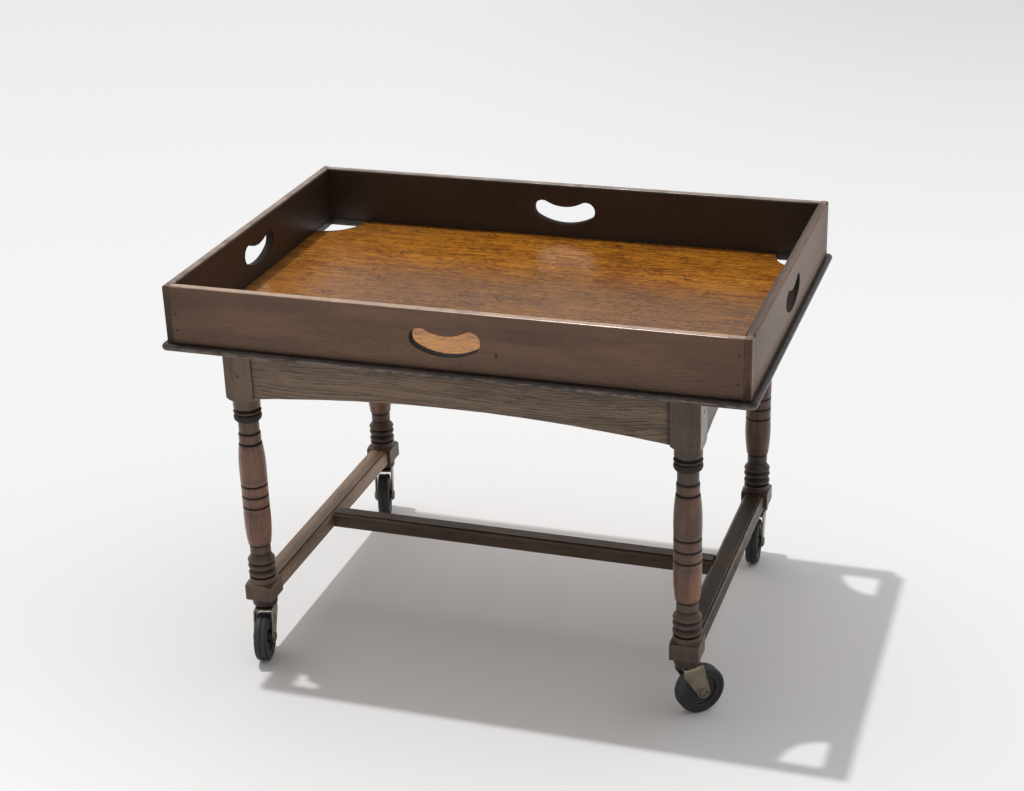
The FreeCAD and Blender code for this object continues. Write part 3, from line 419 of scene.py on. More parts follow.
def rounded(rows, steps):
    """A closed outline whose corners are rounded, each by an arc tangent to both sides.

    Each row is a corner's radius from the axis, its place along it and its rounding.
    """
    rows = np.asarray(rows, float)
    corners = rows[:, :2]
    share = np.linspace(0, 1, steps + 1)[:, None]
    parts = []
    for index, (corner, radius) in enumerate(zip(corners, rows[:, 2])):
        before = unit(corners[index - 1] - corner)
        after = unit(corners[(index + 1) % len(corners)] - corner)
        opening = math.acos(np.clip(before @ after, -1, 1))
        if radius == 0 or opening > STRAIGHT:
            parts.append(corner[None])
            continue
        reach = radius / math.tan(opening / 2)
        middle = corner + unit(before + after) * radius / math.sin(opening / 2)
        ends = np.stack([corner + before * reach, corner + after * reach]) - middle
        swing = np.pi - opening
        weights = np.concatenate([np.sin((1 - share) * swing), np.sin(share * swing)], 1) / math.sin(swing)
        parts.append(middle + weights @ ends)
    return np.concatenate(parts)


def mirrored(half, *middle):
    """Rows of a closed outline: one half of it, rows between, and the mirror image of the half."""
    return [*half, *middle, *((radius, -place, rounding) for radius, place, rounding in reversed(half))]


# Finishes

# Roughness and index of a thin coat of wax, and of the polish on the long walls
WAX = (0.16, 1.5)
WALL_POLISH = (0.22, 1.8)
# Depth of the grain's relief
GRAIN_DEPTH = 0.0002
# Plain finishes: colours of the ground and the patches, roughness, metal, patches to a metre, depth of the
# fine relief, and the level of the noise over which a patch lies
SPECKLED = {"dull_screw_steel": ("screw_steel", "grime_and_shade", 0.45, 0.9, 300.0, 0.00008, 0.45),
            "tyre_rubber": ("rubber", "rubber_worn", 0.62, 0.0, 120.0, 0.00015, 0.5),
            "wheel_centre_plastic": ("wheel", "wheel_worn", 0.5, 0.0, 90.0, 0.00012, 0.5),
            "plated_fork_steel": ("plate_steel", "tarnish", 0.4, 0.85, 40.0, 0.00001, 0.42),
            "plated_axle_steel": ("screw_steel", "tarnish", 0.36, 0.9, 140.0, 0.00003, 0.45),
            "dark_cup_iron": ("cup_iron", "cup_rust", 0.45, 0.6, 160.0, 0.0001, 0.52)}


class Wire:
    """One output of a material's nodes; sums and products of wires add Math nodes."""

    def __init__(self, tree, socket=None):
        self.tree = tree
        self.socket = socket

    def node(self, kind, settings=None, inputs=None, output=0):
        """Adds a node: its settings first, then the values or links of its inputs."""
        made = self.tree.nodes.new(kind)
        for name, value in (settings or {}).items():
            setattr(made, name, value)
        for name, value in (inputs or {}).items():
            if isinstance(value, Wire):
                self.tree.links.new(value.socket, made.inputs[name])
            else:
                made.inputs[name].default_value = value
        return Wire(self.tree, made.outputs[output] if len(made.outputs) else None)

    def math(self, operation, first, second=0.0):
        """A Math node on one or two values."""
        return self.node("ShaderNodeMath", {"operation": operation}, {0: first, 1: second})

    def __add__(self, other):
        return self.math("ADD", self, other)

    def __radd__(self, other):
        return self.math("ADD", other, self)

    def __sub__(self, other):
        return self.math("SUBTRACT", self, other)

    def __rsub__(self, other):
        return self.math("SUBTRACT", other, self)

    def __mul__(self, other):
        return self.math("MULTIPLY", self, other)

    def __rmul__(self, other):
        return self.math("MULTIPLY", other, self)

    def __truediv__(self, other):
        return self.math("DIVIDE", self, other)

    def __pow__(self, other):
        return self.math("POWER", self, other)

    def root(self):
        """Square root."""
        return self.math("SQRT", self)

    def fraction(self):
        """What is left after the whole part."""
        return self.math("FRACT", self)

    def distance(self):
        """Distance from zero."""
        return self.math("ABSOLUTE", self)

    def between(self, low, high):
        """0 below low, 1 above high, smooth between."""
        return self.node("ShaderNodeMapRange", {"interpolation_type": "SMOOTHSTEP"},
                         {"Value": self, "From Min": low, "From Max": high})

    def parts(self):
        """The three parts of a vector."""
        split = self.node("ShaderNodeSeparateXYZ", None, {0: self})
        return [Wire(self.tree, socket) for socket in split.socket.node.outputs]

    def stretched(self, factors, shift):
        """A vector multiplied and then moved."""
        return self.node("ShaderNodeVectorMath", {"operation": "MULTIPLY_ADD"},
                         {0: self, 1: factors, 2: shift})

    def noise(self, along, across, detail=2.0, roughness=0.5, shift=(0.0, 0.0, 0.0)):
        """Smooth noise from 0 to 1 at a place, with so many waves to a metre along and across the grain."""
        return self.node("ShaderNodeTexNoise", None,
                         {"Vector": self.stretched((along, across, across), shift), "Scale": 1.0,
                          "Detail": detail, "Roughness": roughness})

    def carried(self, name):
        """A value from 0 to 1 that a piece carries at its points."""
        return self.node("ShaderNodeAttribute", {"attribute_name": name}, None, "Fac")

    def blend(self, *colours):
        """Mixes two colours by this value."""
        first, second = (colour if isinstance(colour, Wire) else (*colour, 1.0) for colour in colours)
        return self.node("ShaderNodeMix", {"data_type": "RGBA", "clamp_factor": True},
                         {0: self, 6: first, 7: second}, 2)


def scaled(colour, share):
    """A colour made lighter or darker."""
    return tuple(share * value for value in colour)


def cleared(data):
    """Takes out all nodes of a material or world; gives a wire to add new ones with."""
    data.use_nodes = True
    data.node_tree.nodes.clear()
    return Wire(data.node_tree)


def new_finish(name):
    """An empty material and a wire to add its nodes with."""
    material = bpy.data.materials.new(name)
    return material, cleared(material)


def close_finish(wire, colour, roughness, bump=None, depth=0.0, metallic=0.0, coat=0.0, specular=0.5,
                 polish=WAX):
    """The surface shader of a finish; polish gives the roughness and the index of its coat."""
    values = {"Base Color": colour, "Roughness": roughness, "Metallic": metallic, "Coat Weight": coat,
              "Coat Roughness": polish[0], "Coat IOR": polish[1], "Specular IOR Level": specular}
    if bump is not None:
        relief = {"Strength": 1.0, "Distance": depth, "Height": bump}
        values["Normal"] = wire.node("ShaderNodeBump", None, relief)
    surface = wire.node("ShaderNodeBsdfPrincipled", None, values)
    wire.node("ShaderNodeOutputMaterial", None, {"Surface": surface})


def object_place(wire):
    """Places in the object's own space."""
    return wire.node("ShaderNodeTexCoord", None, None, "Object")


def grain_place(wire, lie=""):
    """Places along, across and through the wood: the piece's own, or the object's with an axis of grain."""
    if not lie:
        return wire.node("ShaderNodeAttribute", {"attribute_name": "grain"}, None, "Vector")
    place = object_place(wire)
    if lie == "X":
        return place
    x, y, z = place.parts()
    return wire.node("ShaderNodeCombineXYZ", None, {0: y, 1: x, 2: z})


def dirt_shade_and_wear(colour, place, wear, grime_and_shade, bare, worn):
    """Old dirt and painted shade in the hollows, then bare wood on the arrises, its pale colour partly a
    painted highlight; gives the colour and the bare share.
    """
    uneven = place.noise(60.0, 60.0, 3.0, 0.6)
    colour = (grime_and_shade * (0.72 + 0.5 * uneven)).blend(colour, bpy.context.scene.tray_finishes.grime_and_shade)
    bare_wood = (wear * bare * (0.35 + 1.1 * uneven)).between(0.18, 0.95)
    return bare_wood.blend(colour, worn), bare_wood


def oak(name, tones, seed, gloss=0.42, rings=0.34, figure=1.0, wax=0.04, bare=1.0, second=None, lie="",
        rail=None, marks=(), warm=None, shine=0.35, polish=WAX):
    """Stained oak: growth rings about a distant pith, fibres, open pores, stains, worn arrises and grime.

    The ring value is the distance from a wandering pith line, counted in rings; pores crowd at the start
    of each ring and are drawn out along the grain. tones are the dark and the light colour, figure scales
    the contrast of the fine grain, warm is the colour of broad streaks where the stain has faded, and
    shine the strength of the gloss. second gives the colours of another stain, or of the painted shade on
    the walls' inner faces; the mark of dark hollows holds old dirt and painted shade, and the worn colour
    is pale enough to be partly a painted highlight on the arrises. lie names the axis of the
    grain where the piece carries no grain of its own, rail gives the middle, half width and top of a
    moulded rail, whose arrises are worn by place, and marks the places along and across and the half
    sizes of dents and nail heads.
    """
    finishes = bpy.context.scene.tray_finishes
    material, wire = new_finish(name)
    grain = grain_place(wire, lie)
    along, across, through = grain.parts()
    place = grain.stretched((1.0, 1.0, 1.0), (1.7 * seed, 0.61 * seed, 0.37 * seed))
    drift = place.noise(1.3, 4.0)
    sway = place.noise(1.9, 3.0, shift=(5.0, 1.0, 9.0))
    aside = across + (drift - 0.5) * 0.11 + 0.021
    deep = through + (sway - 0.5) * 0.06 + 0.052
    from_pith = (aside * aside + deep * deep).root()
    ragged = place.noise(9.0, 160.0)
    fibre = place.noise(22.0, 720.0, 3.0, 0.62)
    streak = place.noise(2.6, 74.0, 3.0, 0.6)
    early = (1.0 - (from_pith / finishes.ring_gap + ragged * 0.8 + streak * 1.7).fraction()) ** 2.2
    stain = place.noise(6.0, 11.0, 4.0, 0.6)
    fleck = place.noise(38.0, 420.0, 2.0, 0.55, (2.0, 8.0, 4.0))
    pores = place.noise(95.0, 2300.0, 1.0).between(0.56, 0.68) * (0.25 + 0.75 * early)
    fine = (streak - 0.5) * 0.9 + (fibre - 0.5) * 0.7 + (fleck - 0.5) * 0.6
    tone = fine * figure + (stain - 0.5) * 1.1
    tone = (tone + 0.56 + rings * 0.35 - early * rings).between(0.0, 1.0)
    colour = tone.blend(*tones)
    if warm is not None:
        faded = place.noise(5.0, 34.0, 3.0, 0.6, (9.0, 4.0, 6.0)).between(0.45, 0.68)
        colour = (faded * 0.6).blend(colour, warm)
    if second is not None:
        colour = wire.carried("stain").blend(colour, tone.blend(*second))
    colour = (pores * (0.2 + 0.45 * figure)).blend(colour, finishes.grime_and_shade)
    for mark_along, mark_across, half_along, half_across in marks:
        beside = (along - mark_along) / half_along
        over = (across - mark_across) / half_across
        dent = 1.0 - (beside * beside + over * over).root().between(0.6, 1.2)
        colour = (dent * 0.9).blend(colour, finishes.grime_and_shade)
    if rail is None:
        wear, grime_and_shade, worn = wire.carried("wear"), wire.carried("grime_and_shade"), finishes.worn
    else:
        wear, grime_and_shade = rail_marks(across, through, *rail)
        worn = finishes.rail_worn_and_highlight
    colour, bare_wood = dirt_shade_and_wear(colour, place, wear, grime_and_shade, bare, worn)
    roughness = gloss + (stain - 0.5) * 0.18 + pores * 0.22 + grime_and_shade * 0.4 - bare_wood * 0.14
    roughness = roughness + (fibre - 0.5) * 0.1
    bump = fibre * 0.45 + streak * 0.35 - pores * 0.9
    coat = (1.0 - grime_and_shade * 0.6) * wax + wear.between(0.15, 0.6) * 0.9
    close_finish(wire, colour, roughness, bump, GRAIN_DEPTH, coat=coat, specular=shine, polish=polish)
    return material


def rail_marks(across, through, middle, half, top):
    """Wear on the quarter rounds of a moulded rail, pale partly as a painted highlight, and darkening in
    their quirks, told by place.
    """
    aside = (across - middle).distance()
    below = top - through
    quirk = half - bpy.context.scene.tray_rails.mould_round
    crest = aside.between(quirk + 0.001, quirk + 0.0025) * (1.0 - below.between(0.0035, 0.0065))
    groove = 1.0 - ((aside - quirk).distance() / 0.0011).between(0.4, 1.0)
    lip = 1.0 - ((quirk - aside).distance() / 0.0018).between(0.1, 1.0)
    wear = crest * 0.3 + lip * (1.0 - below.between(0.0, 0.0006)) * 0.4
    return wear, groove * below.between(0.0003, 0.0012)


def waxed_board(name, lip_tones):
    """The tray's floor: waxed oak, mottled golden and reddish, with flecks, pits, scratches, lighter towards
    the left end.

    Every mark is smooth noise drawn out along the grain and cut at a level; the lip has its own tones, with
    painted shade over its top and a painted highlight along its nose.
    """
    finishes = bpy.context.scene.tray_finishes
    material, wire = new_finish(name)
    place = grain_place(wire)
    along, across, _ = place.parts()
    figure = place.noise(4.5, 48.0, 3.0, 0.6)
    mottle = place.noise(17.0, 24.0, 4.0, 0.68, (3.0, 5.0, 0.0))
    cloud = place.noise(5.0, 7.0, shift=(8.0, 1.0, 4.0))
    fleck = place.noise(75.0, 430.0, 3.0, 0.6, (1.0, 9.0, 2.0))
    fibre = place.noise(30.0, 950.0, 2.0, 0.6)
    streak = place.noise(13.0, 190.0, 3.0, 0.62, (4.0, 1.0, 7.0))
    tone = (figure - 0.5) * 1.0 + (mottle - 0.5) * 1.1 + (streak - 0.5) * 2.4 + 0.54
    tone = (tone + (fleck - 0.5) * 3.2 + (fibre - 0.5) * 1.6).between(0.0, 1.0)
    colour = tone.blend(finishes.floor_dark, finishes.floor_light)
    colour = (cloud.between(0.42, 0.7) * 0.45).blend(colour, finishes.floor_red)
    dull = (1.0 - (across + 0.02).distance().between(0.05, 0.17)) * along.between(-0.42, -0.1)
    colour = (dull * 0.5).blend(colour, finishes.floor_deep)
    # Lighter towards the left end.
    faded = 1.0 - along.between(-0.42, -0.12)
    colour = (faded * 0.12 * (0.4 + mottle)).blend(colour, finishes.worn)
    fresh = 1.0 - across.between(-0.21, -0.14)
    colour = (fresh * (0.08 + 0.36 * mottle)).blend(colour, finishes.floor_fresh)
    dashes = place.noise(48.0, 300.0, shift=(6.0, 2.0, 2.0)).between(0.6, 0.72)
    pits = place.noise(170.0, 210.0, shift=(2.0, 4.0, 4.0)).between(0.66, 0.74)
    lines = place.noise(14.0, 17.0, 3.0, 0.65, (3.0, 3.0, 3.0))
    patchy = place.noise(8.0, 9.0, shift=(7.0, 2.0, 0.0)).between(0.45, 0.56)
    scratch = (1.0 - ((lines - 0.5).distance() / 0.008).between(0.3, 1.0)) * patchy
    for mark in (dashes * 0.7, pits * 0.85, scratch * 0.85):
        colour = mark.blend(colour, finishes.floor_deep)
    lip = wire.carried("stain")
    colour = lip.blend(colour, tone.blend(*lip_tones))
    wear = wire.carried("wear")
    colour, bare_wood = dirt_shade_and_wear(colour, place, wear, wire.carried("grime_and_shade"), 0.6, finishes.worn)
    roughness = 0.27 + (mottle - 0.5) * 0.25 + dashes * 0.15 + bare_wood * 0.2 + lip * 0.15
    bump = fibre * 0.3 + fleck * 0.35 - pits * 0.8 - scratch * 0.4
    close_finish(wire, colour, roughness, bump, GRAIN_DEPTH, specular=0.31)
    return material


def speckled(name):
    """A plain finish with dull patches and a fine uneven surface, for metal, rubber and plastic; darkened by
    the piece's dark-hollow mark, which is painted shade in the axles' bores.
    """
    ground, patch, roughness, metallic, scale, depth, level = SPECKLED[name]
    finishes = bpy.context.scene.tray_finishes
    material, wire = new_finish(name)
    place = object_place(wire)
    fine = place.noise(scale * 14, scale * 14)
    coarse = place.noise(scale, scale, 4.0, 0.62)
    mask = (coarse + (fine - 0.5) * 0.15).between(level, level + 0.3)
    grime_and_shade = wire.carried("grime_and_shade")
    colour = mask.blend(getattr(finishes, ground), getattr(finishes, patch))
    rough = roughness + (mask - 0.5) * 0.16 + (fine - 0.5) * 0.1 + grime_and_shade * 0.3
    close_finish(wire, grime_and_shade.blend(colour, finishes.grime_and_shade), rough, fine, depth, metallic=metallic)
    return material


# Tray

# Places along and across the front wall, and half sizes, of a dent and of the corner nails' heads
FRONT_MARKS = ((0.075, 0.030, 0.0026, 0.0052), (-0.412, 0.021, 0.0019, 0.0022),
               (-0.413, 0.046, 0.0024, 0.0020), (-0.411, 0.071, 0.0014, 0.0014),
               (0.412, 0.023, 0.0024, 0.0019), (0.413, 0.064, 0.0020, 0.0022))
# For each wall: the seeds of its grain and of its nicks, and the wear along its top
WALLS = {"front": (11.0, 0, 1.0), "back": (12.0, 1, 0.6), "left": (17.0, 7, 0.6), "right": (18.0, 8, 0.25)}
# Seed of the unevenness of the painted highlight along the lip's nose
LIP_SEED = 41
# Points along the top, down each end and along the bottom of a wall; in each corner and along each side
# of the floor board
TOP_POINTS, END_POINTS, FOOT_POINTS = 200, 40, 120
CORNER_POINTS, SIDE_POINTS = 24, 60
# Places between a hole and an outline, as shares of the way
WALL_SHARES = (0.015, 0.05, 0.12, 0.25, 0.45, 0.65, 0.8, 0.9, 0.955, 0.985)
LIP_SHARES = (0.2, 0.4, 0.55, 0.63, 0.68, 0.75, 0.85, 0.95)
# How far the wear of the walls' tops and the dirt at their feet reach
TOP_REACH = 0.0012
FOOT_REACH = 0.0045
# Arris of an end that lies against another piece, and of the long walls' ends
HIDDEN_ARRIS = 1e-5
LET_IN_ARRIS = 0.0003


def slot_curve(sizes):
    """The hand hole: a slot of even width bent along an arc; points and normals into the wall.

    The first stretch runs over the upper edge between the tops of the two round ends, the others down
    the right end, along the lower edge and up the left end, so each answers to one side of the wall.
    """
    bend = sizes.grip_bend
    half = sizes.grip_width / 2
    swing = math.asin(sizes.grip_half_span / bend)
    hub = np.array([0.0, sizes.grip_height + bend])
    right = hub + bend * np.array([math.sin(swing), -math.cos(swing)])
    left = right * np.array([-1.0, 1.0])
    turn = TOP_POINTS // 4
    quarter = np.pi / 2

    def arc(centre, radius, start, end, count, into):
        """Points of an arc between two directions; into is -1 where the wall lies towards its centre."""
        spoke = spokes(np.linspace(start, end, count, endpoint=False))
        return centre + radius * spoke, into * spoke

    stretches = [
        arc(left, half, quarter, quarter - swing, turn, 1),
        arc(hub, bend - half, -quarter - swing, -quarter + swing, TOP_POINTS - 2 * turn, -1),
        arc(right, half, quarter + swing, quarter, turn, 1),
        arc(right, half, quarter, swing - quarter, END_POINTS, 1),
        arc(hub, bend + half, swing - quarter, -quarter - swing, FOOT_POINTS, 1),
        arc(left, half, 3 * quarter - swing, quarter, END_POINTS, 1),
    ]
    return [np.concatenate(rows) for rows in zip(*stretches)]


def box_curve(half_length, height, hole_top):
    """Outline of a wall, in the same order as the hand hole, and a mark for points on the top edge.

    Points of the top edge stand straight over the hole's upper edge, hole_top; over its round ends they
    move out to the corners by the cube of the way along, so that no line to them crosses the hole.
    """
    turn = TOP_POINTS // 4
    count = np.arange(TOP_POINTS)
    outward = np.clip((count - TOP_POINTS + turn) / turn, 0, 1) ** 3 - np.clip(1 - count / turn, 0, 1) ** 3
    climb = np.linspace(0, height, END_POINTS, endpoint=False)
    fall = np.linspace(height, 0, END_POINTS, endpoint=False)
    across = np.linspace(half_length, -half_length, FOOT_POINTS, endpoint=False)
    sides = ((hole_top + (half_length + hole_top[0]) * outward, height), (half_length, fall), (across, 0.0),
             (-half_length, climb))
    outline = np.concatenate([np.stack(np.broadcast_arrays(*side), -1) for side in sides])
    return outline, np.arange(len(outline)) <= TOP_POINTS


def wall_shell(sizes, half_length, height, half_thick, end_arris, origin, along, outward, seed, top_wear):
    """A tray wall as a ring board between its hand hole and its outline; its inner face carries painted
    shade.
    """
    hole, normals = slot_curve(sizes)
    outline, on_top = box_curve(half_length, height, hole[:TOP_POINTS, 0])
    hole_round = sizes.arris * 1.5
    rounding = np.where(on_top, sizes.wall_round, sizes.arris)

    def inner(share):
        return hole + normals * hole_round * share

    def outer(share):
        reach = half_length - end_arris * share
        flat = outline.copy()
        flat[:, 0] = np.clip(flat[:, 0], -reach, reach)
        flat[:, 1] = np.clip(flat[:, 1], sizes.arris * share, height - sizes.wall_round * share)
        return flat

    local, from_hole = ring_board(inner, outer, half_thick, hole_round, rounding, WALL_SHARES)
    nicks = 0.85 + 0.15 * wander(local[..., 0], pitch=0.021, seed=seed)
    wear = top_wear * fading(height - local[..., 1], TOP_REACH) * nicks
    from_end = half_length - np.abs(local[..., 0])
    # Darker at the foot, as dirt in the crease and as painted shade where the wall meets the lip; darker
    # also towards the ends.
    grime_and_shade = 0.8 * fading(local[..., 1], FOOT_REACH) + 0.28 * fading(from_end, reach=0.07)
    # The hand hole's sides are darkened almost to black: painted shade.
    grime_and_shade = grime_and_shade + 0.95 * (from_hole < hole_round * 0.6)
    # The inner face takes darker tones: painted shade.
    painted_inner_shade = np.clip((0.2 - local[..., 2] / half_thick) / 0.6, 0, 1)
    return ring_shell(placed(local, origin, along, outward), local, wear, grime_and_shade, painted_inner_shade)


def end_block_shell(sizes, start, end, height, inner_depth, outer_depth, origin, along, outward):
    """The end of a short wall outside its rebate: a short bar with the wall's rounded top."""
    reach = abs(end - start)
    sign = 1 if end > start else -1
    steps = np.array([0.0, reach - sizes.arris, reach - 0.6 * sizes.arris, reach - 0.2 * sizes.arris, reach])
    inset = sizes.arris * np.array([0.0, 0.0, 0.08, 0.4, 1.0])
    middle = (inner_depth + outer_depth) / 2
    radii = np.array([sizes.arris, sizes.wall_round, sizes.arris, 0.0002])
    half = (outer_depth - inner_depth) / 2 - inset * 0.6
    section = box_sections(half, 0 * inset, height - inset, radii)
    place = (start + sign * steps)[:, None]
    local = np.stack(np.broadcast_arrays(place, section[..., 1], section[..., 0] + middle), -1)
    wear = 0.35 * fading(height - local[..., 1], TOP_REACH)
    end_grain = fading(reach - np.abs(local[..., 0] - start), reach=0.001)
    # Darker on the end grain, and at the foot as dirt and as painted shade where the block meets the lip.
    grime_and_shade = 0.38 * end_grain + 0.5 * fading(local[..., 1], FOOT_REACH)
    return tube_shell(placed(local, origin, along, outward), local, wear, grime_and_shade)


def floor_shells(sizes, half_x, half_y, inner_x, inner_y, low, high):
    """The floor board: a ring with a rounded lip under the walls, and the board inside the walls.

    The inner board is a row of sections along Y whose half width shrinks by the corner holes' arcs.
    """
    def rectangle(reach_x, reach_y, corner):
        """Outline with rounded corners; every corner has as many points, also where it is sharp."""
        reach = np.array([reach_x - corner, reach_y - corner])
        signs = ((1, -1), (1, 1), (-1, 1), (-1, -1))
        share = np.linspace(0, 1, SIDE_POINTS + 2)[1:-1, None]
        parts = []
        for quarter, sign in enumerate(signs):
            turn = np.radians(-90 + 90 * quarter + np.linspace(0, 90, CORNER_POINTS))
            arc = sign * reach + corner * spokes(turn)
            after = signs[(quarter + 1) % 4] * reach + corner * spokes(turn[-1])
            parts += [arc, arc[-1] * (1 - share) + after * share]
        return np.concatenate(parts)

    def inner(_):
        """The edge under the walls, which is sharp and so stays where it is."""
        return rectangle(inner_x, inner_y, 0.0)

    def outer(share):
        inset = sizes.lip_round * share
        return rectangle(half_x - inset, half_y - inset, sizes.lip_corner - inset)

    half_thick = (high - low) / 2
    local, _ = ring_board(inner, outer, half_thick, 0.0, sizes.lip_round, LIP_SHARES, arc_steps=8)
    x, y, z = np.moveaxis(local, -1, 0)
    outside = np.maximum(np.abs(x) - (half_x - sizes.lip), np.abs(y) - (half_y - sizes.lip))
    # The lip's top and its underside are darkened as painted shade, and a pale line along its nose is a
    # painted highlight.
    upper = np.clip(z / half_thick / 0.6, 0, 1)
    lip_shade = np.where(z < -half_thick * 0.35, 0.45, 0.1 + 0.8 * upper)
    nose = np.exp(-((z + half_thick * 0.15) / 0.0016) ** 2)
    lip_highlight = np.where(outside > sizes.lip * 0.55, 0.4 * nose, 0.0)
    lip_highlight = lip_highlight * (0.8 + 0.3 * wander(x + y, pitch=0.03, seed=LIP_SEED))
    ring = local + np.array([0, 0, (high + low) / 2])
    lip = ring_shell(ring, ring, lip_highlight, lip_shade, 1.0)

    turn = np.linspace(0, np.pi / 2, 30)
    hole = sizes.corner_hole
    corner_y = inner_y - hole * np.cos(turn)
    corner_half = inner_x - hole * np.sin(turn)
    middle_y = np.linspace(-inner_y + hole, inner_y - hole, 26)[1:-1]
    stations = np.concatenate([-corner_y[::-1], middle_y, corner_y])
    half = np.concatenate([corner_half[::-1], np.full(len(middle_y), inner_x), corner_half])
    arris = np.where(np.abs(stations) > inner_y - hole * 0.999, sizes.arris, HIDDEN_ARRIS)
    section = box_sections(half, low, high, np.repeat(arris[:, None], 4, 1), face_steps=48)
    board = np.stack(np.broadcast_arrays(section[..., 0], stations[:, None], section[..., 1]), -1)
    from_x = inner_x - np.abs(board[..., 0])
    from_y = inner_y - np.abs(board[..., 1])
    from_wall = np.abs(np.minimum(from_x, from_y))
    wear = 0.25 * fading(np.abs(np.hypot(from_x, from_y) - hole), reach=0.0016)
    wear = wear * (np.abs(board[..., 1]) > inner_y - hole)
    grime_and_shade = 0.3 * fading(from_wall, reach=0.004) + 0.08 * fading(from_wall, reach=0.03)
    return [lip, tube_shell(board, board, wear, grime_and_shade)]


class TRAYTABLE_OT_tray(bpy.types.Operator):
    """Make the tray's floor board and its four walls with their hand holes"""

    bl_idname = "traytable.tray"
    bl_label = "Tray"

    def execute(self, context):
        sizes = context.scene.tray_sizes
        finishes = context.scene.tray_finishes
        floor_low, floor_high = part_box("tray_floor")
        front_low, front_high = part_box("tray_front_wall")
        left_low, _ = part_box("tray_left_wall")
        height = front_high.z - front_low.z
        thick = front_high.y - front_low.y
        long_half = (front_high.x - front_low.x) / 2
        outer_x = -left_low.x
        outer_y = -front_low.y
        inner_x = outer_x - thick
        inner_y = outer_y - thick
        board = waxed_board("waxed_tray_floor", (finishes.lip_dark, finishes.lip_light_and_highlight))
        shells = floor_shells(sizes, floor_high.x, floor_high.y, inner_x, inner_y, floor_low.z, floor_high.z)
        make_piece("tray_floor_board", shells, board, "tray", "tray_floor", "tray_floor_oak")
        for side, along, outward in SIDES:
            grain_seed, nick_seed, top_wear = WALLS[side]
            long_side = along is RIGHT
            # The inner faces take the second tones as painted shade.
            finish = oak(f"{side}_wall_oak", (finishes.wall_dark, finishes.wall_light), grain_seed,
                         rings=0.06, figure=0.35, second=(finishes.inner_shade_dark, finishes.inner_shade_light),
                         marks=FRONT_MARKS if side == "front" else (), warm=finishes.wall_warm,
                         polish=WALL_POLISH if long_side else WAX)
            half_length, end_arris = (long_half, LET_IN_ARRIS) if long_side else (inner_y, HIDDEN_ARRIS)
            origin = ((outer_y if long_side else outer_x) - thick / 2) * outward + front_low.z * UP
            shells = [wall_shell(sizes, half_length, height, thick / 2, end_arris, origin, along, outward,
                                 nick_seed, top_wear)]
            if not long_side:
                depths = (sizes.corner_rebate - thick / 2, thick / 2)
                shells += [end_block_shell(sizes, end * inner_y, end * outer_y, height, *depths, origin,
                                           along, outward) for end in (-1, 1)]
            make_piece(f"{side}_wall", shells, finish, "tray", f"tray_{side}_wall", "tray_wall_oak")
        return {"FINISHED"}


# Legs

# How much each leg's colours are lightened or darkened, in the order of the places: painted light on the
# left legs and painted shade on the right ones
LEG_PAINTED_LIGHT = (1.36, 0.95, 1.1, 0.8)
# Power of the norm that gives the square blocks, and how softly they run into the turning
SQUARE_POWER = 30.0
SOFT = 0.0005


class Turning:
    """The half outline of a turned leg from the foot up.

    Each row has height, radius, darkness, inset of the square, and the share of the stand's stain.
    """

    def __init__(self, height):
        self.height = height
        self.stain = 1.0
        self.rows = []

    def add(self, length, share, radius, dark, inset=0.0):
        """Adds a stretch; share runs from 0 to 1 along its length."""
        row = (self.height + length * share, radius, dark, inset, self.stain)
        self.rows.append(np.stack(np.broadcast_arrays(*row), -1))
        self.height += length

    def band(self, length, low, high, dark, swell=0.0, count=6):
        """A straight taper, swollen by a parabola; a swollen one is darker towards its ends."""
        share = np.linspace(0, 1, count)
        bow = 4 * share * (1 - share)
        radius = low + (high - low) * share + swell * bow
        self.add(length, share, radius, dark + 0.3 * (swell > 0) * (1 - bow) ** 2)

    def ring(self, length, valley, crest, dark, keen):
        """A ring by a power of a sine arch, narrow where keen is high; its valleys are black."""
        share = np.linspace(0, 1, 25)
        self.arched(length, share, valley, crest, dark, np.sin(np.pi * share) ** keen)

    def arched(self, length, share, valley, crest, dark, rise):
        """A stretch that rises from a valley to a crest and is black in the valley."""
        self.add(length, share, valley + (crest - valley) * rise, dark + (1 - dark) * (1 - rise) ** 0.7)

    def cove(self, length, low, high, dark):
        """A hollow quarter ellipse that widens upwards, steep at its wider end."""
        turn = np.linspace(0, np.pi / 2, 10)
        self.add(length, np.sin(turn), high + (low - high) * np.cos(turn), dark)

    def bell(self, length, valley, crest, neck, dark):
        """A ring whose upper side runs on in a hollow up to a neck; darkest at both ends."""
        under = np.linspace(0, 1, 12)
        self.arched(length * 0.25, under, valley, crest, dark, np.sin(np.pi / 2 * under) ** 0.8)
        share = np.linspace(0, 1, 24)
        fall = (1 + np.cos(np.pi * share ** 0.8)) / 2
        self.add(length * 0.75, share, neck + (crest - neck) * fall, dark + 0.5 * share ** 2)

    def groove(self, width, low, high, floor, dark):
        """A V groove with a narrow rounded bottom."""
        share = np.array([0.0, 0.12, 0.42, 0.5, 0.58, 0.88, 1.0])
        radius = np.array([low, low - 0.1 * (low - floor), floor + 0.1 * (low - floor), floor,
                           floor + 0.1 * (high - floor), high - 0.1 * (high - floor), high])
        self.add(width, share, radius, dark)


